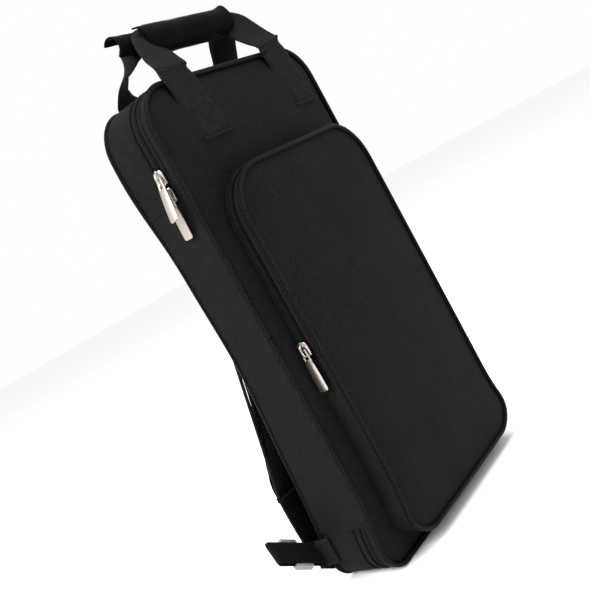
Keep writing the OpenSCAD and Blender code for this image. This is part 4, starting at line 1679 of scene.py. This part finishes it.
@dataclass
class ZipPull:
    """One slider with its pull, at a place on the left side."""

    maker: Maker
    name: str
    zip_x: float
    zip_y: float
    at: float
    slider_body: str
    pull_body: str
    pin_out: float = 3.9
    lean: float = 0.0
    swing: float = 0.0

    def shift(self) -> Vector:
        """How far the settling moves the zipper at this slider."""
        place = (self.zip_x, self.zip_y, self.at)
        return Vector(self.maker.moved(*place)) - Vector(place)

    def build(self) -> None:
        """Builds the slider and the pull."""
        self.build_slider()
        self.build_pull()

    def build_slider(self) -> None:
        """Builds the slider: waisted plate, side rails, nose and raised crown."""
        origin = Vector((self.zip_x, self.zip_y, self.at)) + self.shift()
        plate = []
        half_len, corners = 7.0, 28
        for i in range(corners):
            a = 2 * math.pi * i / corners
            up = half_len * math.sin(a)
            wide = (5.2 + 0.9 * math.sin(a)) * math.copysign(abs(math.cos(a)) ** 0.45, math.cos(a))
            plate.append((wide, up))
        data = MeshData()
        prism(data, plate, 1.5, Matrix.Translation(origin + Vector((-1.3, 0, 0))) @ UPRIGHT)
        for side in (-1, 1):
            block(data, origin + Vector((-0.9, side * 4.6, -1.2)), (2.0, 1.2, 9.5))
        nose = [(-1.6, 3.0), (1.6, 3.0), (1.1, 7.6), (-1.1, 7.6)]
        prism(data, nose, 2.2, Matrix.Translation(origin + Vector((-2.2, 0, 0))) @ UPRIGHT)
        crown = smooth_path([(-2.0, 6.0), (-3.6, 5.7), (-5.4, 4.4), (-6.3, 1.2), (-6.3, -2.2), (-5.2, -4.8),
                             (-2.2, -5.6)], 30)
        line = np.array([list(origin + Vector((p[0], 0, p[1]))) for p in crown])
        ribbon(data, line, np.tile([0.0, 1.0, 0.0], (30, 1)), np.full(30, 2.5), np.full(30, 1.25), 9)
        piece = self.maker.piece(f"{self.name}_slider_body", data, METAL, self.slider_body, "slider_metal",
                                 (f"{self.name}_slider",), settled=False)
        harden(piece, 0.35)

    def build_pull(self) -> None:
        """Builds the pull: pin, forked neck and long plate with rounded corners."""
        swung = Matrix.Rotation(math.radians(self.swing), 4, "X")
        turn = swung @ Matrix.Rotation(math.radians(self.lean), 4, "Y")
        origin = Vector((self.zip_x - self.pin_out, self.zip_y, self.at)) + self.shift()
        place = Matrix.Translation(origin) @ turn
        data = MeshData()
        pin = np.array([list(place @ Vector((0, y, 0))) for y in np.linspace(-3.1, 3.1, 9)])
        tube(data, pin, 0.85, 12, False)
        for side in (-1, 1):
            arm = smooth_path([(0, side * 2.45, 0.9), (0, side * 2.5, -3.0), (0, side * 2.7, -6.5),
                               (0, side * 3.0, -10.0)], 14)
            line = np.array([list(place @ Vector(p)) for p in arm])
            wide = np.tile(list(turn.to_3x3() @ Vector((0, 1, 0))), (14, 1))
            ribbon(data, line, wide, np.linspace(1.4, 2.6, 14), np.full(14, 1.4), 7)
        corner, half, top, end = 2.2, 4.9, -8.6, -39.0
        outline = [(-3.6, top), (3.6, top), (half - 0.4, top - 6), (half, top - 14)]
        outline += [(half - corner + corner * math.cos(a), end + corner + corner * math.sin(a))
                    for a in np.linspace(0, -math.pi / 2, 7)]
        outline += [(-half + corner + corner * math.cos(a), end + corner + corner * math.sin(a))
                    for a in np.linspace(-math.pi / 2, -math.pi, 7)]
        outline += [(-half, top - 14), (-half + 0.4, top - 6)]
        prism(data, outline, 1.5, place @ UPRIGHT)
        piece = self.maker.piece(f"{self.name}_pull_plate", data, METAL, self.pull_body, "slider_metal",
                                 (f"{self.name}_pull",), settled=False)
        harden(piece, 0.4, 3)


# --- back straps


@dataclass
class BackStrap:
    """One padded shoulder strap with its bound edge and its tail."""

    maker: Maker
    side: Side
    pad_low: float
    pad_high: float
    y_in: float
    thick: float
    tail_low: float
    half_width: float = 28.0
    tail_half: float = 18.5
    top_x: float = 32.0
    sweep_x: float = 72.0
    tail_shift: float = 10.0
    tail_rise: float = 7.0

    @classmethod
    def from_frame(cls, maker: Maker, side: Side) -> "BackStrap":
        """Reads the strap's place from the frame."""
        low, high = box_mm(f"{side.name.lower()}_strap_pad")
        tail_low, _ = box_mm(f"{side.name.lower()}_strap_tail")
        return cls(maker, side, float(low[2]), float(high[2]), float(low[1]), float(high[1] - low[1]),
                   float(tail_low[2]))

    @property
    def label(self) -> str:
        """Name of the side."""
        return self.side.name.lower()

    def middle(self, share: np.ndarray) -> np.ndarray:
        """Middle line of the pad by share of its length, counted from the top."""
        return self.side.value * (self.top_x + self.sweep_x * share**1.6)

    def bow(self, share: np.ndarray) -> np.ndarray:
        """How far the strap hangs away from the back, by share of the pad's length."""
        return 6.0 * np.abs(np.sin(math.pi * np.clip(share, 0, 1) ** 1.3)) ** 1.2 + 4.5 * share

    def pad_form(self, grow: float) -> MeshData:
        """Lens-shaped pad, grown or drawn in by a distance."""
        data = MeshData()
        share = np.linspace(0, 1, 46)
        centre = self.middle(share)
        height = self.pad_high + grow - (self.pad_high - self.pad_low + 2 * grow) * share
        across = np.linspace(-1, 1, 17)
        half = self.half_width + grow
        x = centre[:, None] + half * across[None, :]
        z = np.broadcast_to(height[:, None], x.shape)
        lens = (1 - np.abs(across) ** 5)[None, :]
        edge = np.clip(np.minimum(share, 1 - share) * 18, 0, 1)[:, None] ** 0.5
        core = (self.thick / 2 + grow - 3.0) * lens * edge + 3.0
        middle = self.y_in + self.thick / 2
        middle = middle + self.bow(share)[:, None]
        front = np.stack([x, middle - core, z], axis=2)
        rear = np.stack([x, middle + core, z], axis=2)
        sheet_between(data, rear, front, np.stack([x, z], axis=2))
        return data

    def build_pad(self) -> bpy.types.Object:
        """Builds the pad as a stuffed cloth form."""
        data = self.pad_form(1.5)
        piece = to_object(f"{self.label}_pad_cushion", data, PAD_MESH.material())
        inflate(piece, voxel=5.0, pressure=4.0, cap=5.0, low_y=self.y_in + 0.2,
                high_y=self.y_in + self.thick + 10.0)
        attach(piece, f"{self.label}_strap")
        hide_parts(f"{self.label}_strap_pad")
        LOG.info("made %s with %d points", piece.name, len(piece.data.vertices))
        return piece

    def build(self) -> None:
        """Builds the strap."""
        self.build_pad()
        self.build_edge()
        self.build_tail()

    def build_edge(self) -> None:
        """Builds the bound edge round the pad."""
        share = np.linspace(0, 1, 60)
        height = self.pad_high - (self.pad_high - self.pad_low) * share
        middle = self.y_in + self.thick / 2 + self.bow(share)
        data, stitches = MeshData(), MeshData()
        for edge in (-1, 1):
            line = np.stack([self.middle(share) + edge * (self.half_width - 0.6), middle, height], axis=1)
            tube(data, line, 1.7, 10, False)
            for face in (-1, 1):
                row = line + np.array([-edge * 4.0, face * (self.thick / 2 - 1.2), 0.0])
                stitch_path(stitches, row, 3.4)
        for end, place in ((self.pad_high, 0.0), (self.pad_low, 1.0)):
            x = float(self.middle(np.array(place)))
            depth = float(middle[0 if place == 0.0 else -1])
            line = np.array([[x + t, depth, end] for t in np.linspace(-self.half_width, self.half_width, 20)])
            tube(data, line, 1.7, 10, False)
        body = f"{self.label}_strap"
        self.maker.piece(f"{self.label}_pad_binding", data, WEBBING, body, "webbing", settled=False)
        self.maker.piece(f"{self.label}_pad_stitching", stitches, THREAD, body, "webbing", settled=False)

    def build_tail(self) -> None:
        """Builds the plain tail with its sewn-on seam at the top."""
        rows, columns, seam_stitches = 30, 15, 26
        share = np.linspace(0, 1, rows)
        top = float(self.middle(np.array(1.0)))
        centre = top + self.side.value * (self.tail_shift * share - 1.0)
        half = (self.half_width + (self.tail_half - self.half_width) * share**1.3 - 1.0) * np.sqrt(
            1 - 0.7 * (np.clip(share - 0.86, 0, 1) / 0.14) ** 2)
        tail_top = self.pad_low + self.tail_rise
        height = tail_top - (tail_top - self.tail_low) * share
        across = np.linspace(-1, 1, columns)
        x = centre[:, None] + half[:, None] * across[None, :]
        z = np.broadcast_to(height[:, None], x.shape)
        rise = np.clip(np.minimum(share * 8, (1 - share) * 6), 0, 1)
        lens = (1 - np.abs(across) ** 3)[None, :] * (0.35 + 0.65 * rise[:, None])
        places = np.stack([x, np.zeros_like(x), z], axis=2)
        waves = ripple(places.reshape(-1, 3), 22.0, 7.0 + self.side.value).reshape(x.shape)
        bulge = 3.1 * lens * (1 + 0.25 * waves) + 0.7
        middle = self.y_in + 4.0 + (6.0 - 0.8 * share**2)[:, None]
        data = MeshData()
        sheet_between(data, np.stack([x, middle + bulge, z], axis=2),
                      np.stack([x, middle - bulge, z], axis=2), np.stack([x, z], axis=2))
        body = f"{self.label}_strap"
        tail = self.maker.piece(f"{self.label}_tail_cushion", data, PAD_NYLON, body, "outer_fabric",
                                (f"{self.label}_strap_tail",), settled=False)
        rim = MeshData()
        for edge in (0, columns - 1):
            line = np.stack([x[:, edge], middle[:, 0], z[:, edge]], axis=1)
            tube(rim, line[:-3], 1.2, 10, False)
        for face in (-1, 1):
            for k in range(seam_stitches):
                start = np.array([x[2, 0] + (x[2, -1] - x[2, 0]) * (k + 0.1) / seam_stitches,
                                  middle[2, 0], height[2]])
                start[1] += face * 4.0
                stitch(rim, start, start + np.array([1.6, 0, -2.6]), 0.5)
        self.maker.piece(f"{self.label}_tail_binding", rim, WEBBING, body, "webbing", settled=False)


def inflate(obj: bpy.types.Object, voxel: float, pressure: float, cap: float, low_y: float,
            high_y: float) -> None:
    """Swells a closed form as stuffed cloth, then smooths it.

    Args:
        obj: The closed form.
        voxel: Size of the remesh, in millimetres.
        pressure: Pressure inside.
        cap: Furthest that a point may move, in millimetres.
        low_y: Lowest depth that it may reach.
        high_y: Highest depth that it may reach.
    """
    remesh = obj.modifiers.new("even", "REMESH")
    remesh.mode = "VOXEL"
    remesh.voxel_size = voxel * MM
    bake_modifiers(obj)
    start = np.array([v.co[:] for v in obj.data.vertices])
    cloth = obj.modifiers.new("stuffing", "CLOTH")
    settings = cloth.settings
    settings.quality = 5
    settings.mass = 0.3
    settings.tension_stiffness = 14.0
    settings.compression_stiffness = 14.0
    settings.bending_stiffness = 0.6
    settings.use_pressure = True
    settings.uniform_pressure_force = pressure
    settings.effector_weights.gravity = 0.0
    last_frame = 20
    cloth.point_cache.frame_start = 1
    cloth.point_cache.frame_end = last_frame
    for frame_number in range(1, last_frame + 1):
        bpy.context.scene.frame_set(frame_number)
    bake_modifiers(obj)
    points = np.array([v.co[:] for v in obj.data.vertices])
    shift = points - start
    length = np.linalg.norm(shift, axis=1, keepdims=True)
    points = start + shift * np.minimum(1.0, cap * MM / np.maximum(length, 1e-9))
    points[:, 1] = np.clip(points[:, 1], low_y * MM, high_y * MM)
    obj.data.vertices.foreach_set("co", points.astype(np.float32).ravel())
    smooth = obj.modifiers.new("even", "SMOOTH")
    smooth.iterations = 3
    smooth.factor = 0.5
    finer = obj.modifiers.new("finer", "SUBSURF")
    finer.levels = finer.render_levels = 1
    bake_modifiers(obj)
    obj.data.polygons.foreach_set("use_smooth", [True] * len(obj.data.polygons))


@dataclass
class BackFittings:
    """Yoke, adjuster webbing, buckles and corner tabs."""

    maker: Maker
    rise: float = 35.0
    web_w: float = 25.0
    twist: float = 40.0
    reach: float = 60.0
    buckle_at: float = 30.0

    def build(self) -> None:
        """Builds the fittings."""
        self.build_yoke()
        for side in Side:
            self.build_adjuster(side)

    def build_yoke(self) -> None:
        """Builds the padded yoke that both straps start from."""
        low, high = box_mm("strap_yoke")
        size = high - low
        corner = 5.0
        outline = Outline(float(size[0]), float(size[2]), corner, corner, float(high[0] + low[0]) / 2,
                          float(low[2]))
        data = cushion(outline, 0.3, float(high[1]) - 0.8, float(low[1]) + 0.4, 0.9, 1.6, 45, 19, 0.35, 14.0)
        yoke = self.maker.piece("yoke_pad", data, NYLON_DARK, "shell", "webbing", ("strap_yoke",),
                                settled=False)
        stitches = MeshData()
        for rise in (4.0, float(size[2]) - 4.0):
            line = np.array([[x, high[1] - 0.4, low[2] + rise]
                             for x in np.arange(low[0] + corner, high[0] - corner, 1.0)])
            stitch_path(stitches, line)
        self.maker.piece("yoke_stitching", stitches, THREAD, "shell", "webbing", settled=False)

    def build_adjuster(self, side: Side) -> None:
        """Builds one tab, its webbing and its buckle.

        Args:
            side: Side of the bag.
        """
        label = side.name.lower()
        tab_low, tab_high = box_mm(f"{label}_corner_tab")
        web_low, web_high = box_mm(f"{label}_webbing")
        glide_low, glide_high = box_mm(f"{label}_tri_glide")
        sign = side.value
        tab_out = tab_low[0] if side is Side.LEFT else tab_high[0]
        tab_z = float(tab_low[2] + tab_high[2]) / 2
        turn = math.radians(self.rise)
        along = np.array([sign * math.cos(turn), 0.0, math.sin(turn)])
        across = np.array([-sign * math.sin(turn), 0.0, math.cos(turn)])
        start = np.array([tab_out, 0.0, tab_z])
        y_in, y_out = float(web_low[1]) + 0.8, float(web_high[1]) - 0.8
        radius, base = (y_out - y_in) / 2, np.array([0.0, (y_in + y_out) / 2, 0.0])
        reach = self.reach - radius - 0.8
        turned = self.frames(across)
        rows = [(t, -radius) for t in np.linspace(-0.5, reach, 40)]
        rows += [(reach + radius * math.sin(a), -radius * math.cos(a))
                 for a in np.linspace(0.25, math.pi - 0.25, 9)]
        rows += [(t, radius) for t in np.linspace(reach, -19, 50)]
        path = np.array([start + along * t + base + turned(t)[1] * off for t, off in rows])
        wide = np.array([turned(t)[0] for t, _ in rows])
        data = MeshData()
        count = len(path)
        ribbon(data, path, wide, np.full(count, self.web_w), np.full(count, 1.5), 11)
        web = self.maker.piece(f"{label}_adjuster_webbing", data, WEBBING_PAINTED_SHADE, "shell", "webbing",
                               (f"{label}_webbing",), settled=False)
        self.web_w * MM
        tab = MeshData()
        size = tab_high - tab_low
        places = smooth_path([
            [sign * -1.2, -9.0], [sign * 0.2, -4.0], [sign * 1.6, 1.0], [sign * 2.4, 5.6]], 16)
        middle_x = tab_out - sign * 2.6
        line = np.array([[middle_x + p[0] * 0.7, tab_low[1] + 10.0 + p[1] * 0.95, tab_z] for p in places])
        up = np.tile([0.0, 0.0, 1.0], (16, 1))
        ribbon(tab, line, up, np.full(16, float(size[2]) - 0.4), np.linspace(3.2, 4.4, 16), 11)
        fold = self.maker.piece(f"{label}_corner_tab_fold", tab, WEBBING, "shell", "webbing",
                                (f"{label}_corner_tab",), settled=False)
        thick = float(glide_high[1] - glide_low[1])
        wide_way, face_way = turned(self.buckle_at)
        middle = start + along * self.buckle_at + [0.0, float(glide_low[1] + glide_high[1]) / 2, 0.0]
        self.build_buckle(label, middle, Matrix((along, face_way, wide_way)).transposed(), thick)

    def frames(self, across: np.ndarray) -> Callable[[float], tuple[np.ndarray, np.ndarray]]:
        """How the webbing twists on its way out.

        Args:
            across: Direction of its width at the tab.

        Returns:
            Function that gives the directions of its width and its face at a distance from the tab.
        """
        back = np.array([0.0, 1.0, 0.0])

        def at(t: float) -> tuple[np.ndarray, np.ndarray]:
            """The two directions at one distance."""
            share = min(1.0, max(0.0, t / 9.0))
            turn = math.radians(self.twist) * share * share * (3 - 2 * share)
            return (math.cos(turn) * across + math.sin(turn) * back,
                    math.cos(turn) * back - math.sin(turn) * across)

        return at

    def build_buckle(self, label: str, middle: np.ndarray, turn: Matrix, thick: float) -> None:
        """Builds the three-bar buckle that the webbing is threaded through.

        Args:
            label: Name of the side.
            middle: Middle of the buckle.
            turn: Its directions along the webbing, out of its face and across it.
            thick: Its thickness.
        """
        rail, slot, length = 3.4, self.web_w + 1.4, 20.0
        data = MeshData()
        parts = [((0.0, 0.0, edge * (slot + rail) / 2), (length, thick, rail)) for edge in (-1, 1)]
        parts += [((at, thick / 2 - 0.8, 0.0), (3.0, 1.6, slot + 0.6)) for at in (-8.5, 8.5)]
        parts.append(((0.0, 0.8 - thick / 2, 0.0), (4.0, 1.6, slot + 0.6)))
        for place, size in parts:
            block(data, Vector(middle) + turn @ Vector(place), size, turn)
        piece = self.maker.piece(f"{label}_three_bar_buckle", data, BUCKLE, f"{label}_buckle",
                                 "buckle_plastic", (f"{label}_tri_glide",), settled=False)
        harden(piece, 0.6, 3)


# --- studio


@dataclass(frozen=True)
class Studio:
    """Floor, lights and camera."""

    camera_at: tuple[float, float, float] = (-0.6652, -0.5355, 0.318)
    looks: tuple[float, float, float] = (0.7602, 0.6439, -0.0872)
    roll: float = 29.0
    lens: float = 54.3

    def build(self) -> None:
        """Builds the studio."""
        self.build_camera()
        self.build_floor()
        self.build_lights()

    def build_camera(self) -> None:
        """Adds the camera."""
        camera = bpy.data.cameras.new("camera")
        camera.lens = self.lens
        camera.sensor_width = 36.0
        camera.clip_end = 50.0
        obj = bpy.data.objects.new("camera", camera)
        bpy.context.scene.collection.objects.link(obj)
        ahead = Vector(self.looks).normalized()
        level = ahead.cross(Vector((0, 0, 1))).normalized()
        upright = level.cross(ahead)
        turn = math.radians(self.roll)
        right = level * math.cos(turn) - upright * math.sin(turn)
        up = upright * math.cos(turn) + level * math.sin(turn)
        basis = Matrix((right, up, -ahead)).transposed().to_4x4()
        obj.matrix_world = Matrix.Translation(self.camera_at) @ basis
        bpy.context.scene.camera = obj

    def build_floor(self) -> None:
        """Adds the pale floor."""
        mesh = bpy.data.meshes.new("floor")
        reach = 14.0
        mesh.from_pydata([(-reach, -reach, 0), (reach, -reach, 0), (reach, reach, 0), (-reach, reach, 0)], [],
                         [(0, 1, 2, 3)])
        made = bpy.data.materials.new("pale_floor")
        made.use_nodes = True
        shader = made.node_tree.nodes["Principled BSDF"]
        shader.inputs["Base Color"].default_value = (0.93, 0.93, 0.93, 1.0)
        shader.inputs["Roughness"].default_value = 0.9
        mesh.materials.append(made)
        floor = bpy.data.objects.new("floor", mesh)
        bpy.context.scene.collection.objects.link(floor)

    def build_lights(self) -> None:
        """Adds the soft lights and the white surroundings."""
        world = bpy.data.worlds.new("studio_white")
        world.use_nodes = True
        back = world.node_tree.nodes["Background"]
        back.inputs["Color"].default_value = (1.0, 1.0, 1.0, 1.0)
        back.inputs["Strength"].default_value = 1.0
        bpy.context.scene.world = world
        bpy.context.scene.view_settings.view_transform = "Standard"
        lamps = (
            ("left_softbox", (-1.9, 0.5, 1.7), (0.0, 0.0, 0.3), 1.2, 85.0),
            ("top_softbox", (0.2, -0.5, 2.3), (0.0, 0.0, 0.3), 1.4, 40.0),
            ("front_softbox", (-0.2, -2.2, 1.7), (0.0, 0.0, 0.3), 1.3, 11.0),
        )
        for name, place, target, size, power in lamps:
            light = bpy.data.lights.new(name, "AREA")
            light.size = size
            light.energy = power
            obj = bpy.data.objects.new(name, light)
            obj.location = place
            obj.rotation_euler = (Vector(target) - Vector(place)).to_track_quat("-Z", "Y").to_euler()
            bpy.context.scene.collection.objects.link(obj)


# --- main


def main() -> None:
    """Builds the bag piece by piece."""
    logging.basicConfig(level=logging.INFO, format="%(name)s: %(message)s")
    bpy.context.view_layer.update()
    sizes = BagSizes.from_frame()
    maker = Maker(sizes, Settle(sizes))
    depths = Depths.from_frame()
    Studio().build()
    Cover(maker, depths).build()
    Body(maker, depths).build()
    pocket = FrontPocket.from_frame(maker)
    pocket.build()
    CarryHandle.from_frame(maker).build()
    zip_at = (-sizes.width / 2, sizes.zip_y)
    upper_low, upper_high = box_mm("upper_slider")
    lower_low, lower_high = box_mm("lower_slider")
    pocket_low, pocket_high = box_mm("pocket_slider")
    pocket_x = pocket.outline.centre_x - pocket.outline.width / 2
    pulls = (
        ZipPull(maker, "upper", *zip_at, float(upper_low[2] + upper_high[2]) / 2, lean=17.0, swing=-7.0,
                slider_body="upper_zip_slider", pull_body="upper_zip_pull"),
        ZipPull(maker, "lower", *zip_at, float(lower_low[2] + lower_high[2]) / 2, swing=3.0,
                slider_body="lower_zip_slider", pull_body="lower_zip_pull"),
        ZipPull(maker, "pocket", pocket_x, pocket.coil - 0.2, float(pocket_low[2] + pocket_high[2]) / 2,
                slider_body="pocket_zip_slider", pull_body="pocket_zip_pull"),
    )
    for pull in pulls:
        pull.build()
    for side in Side:
        BackStrap.from_frame(maker, side).build()
    BackFittings(maker).build()


if __name__ == "__main__":
    main()
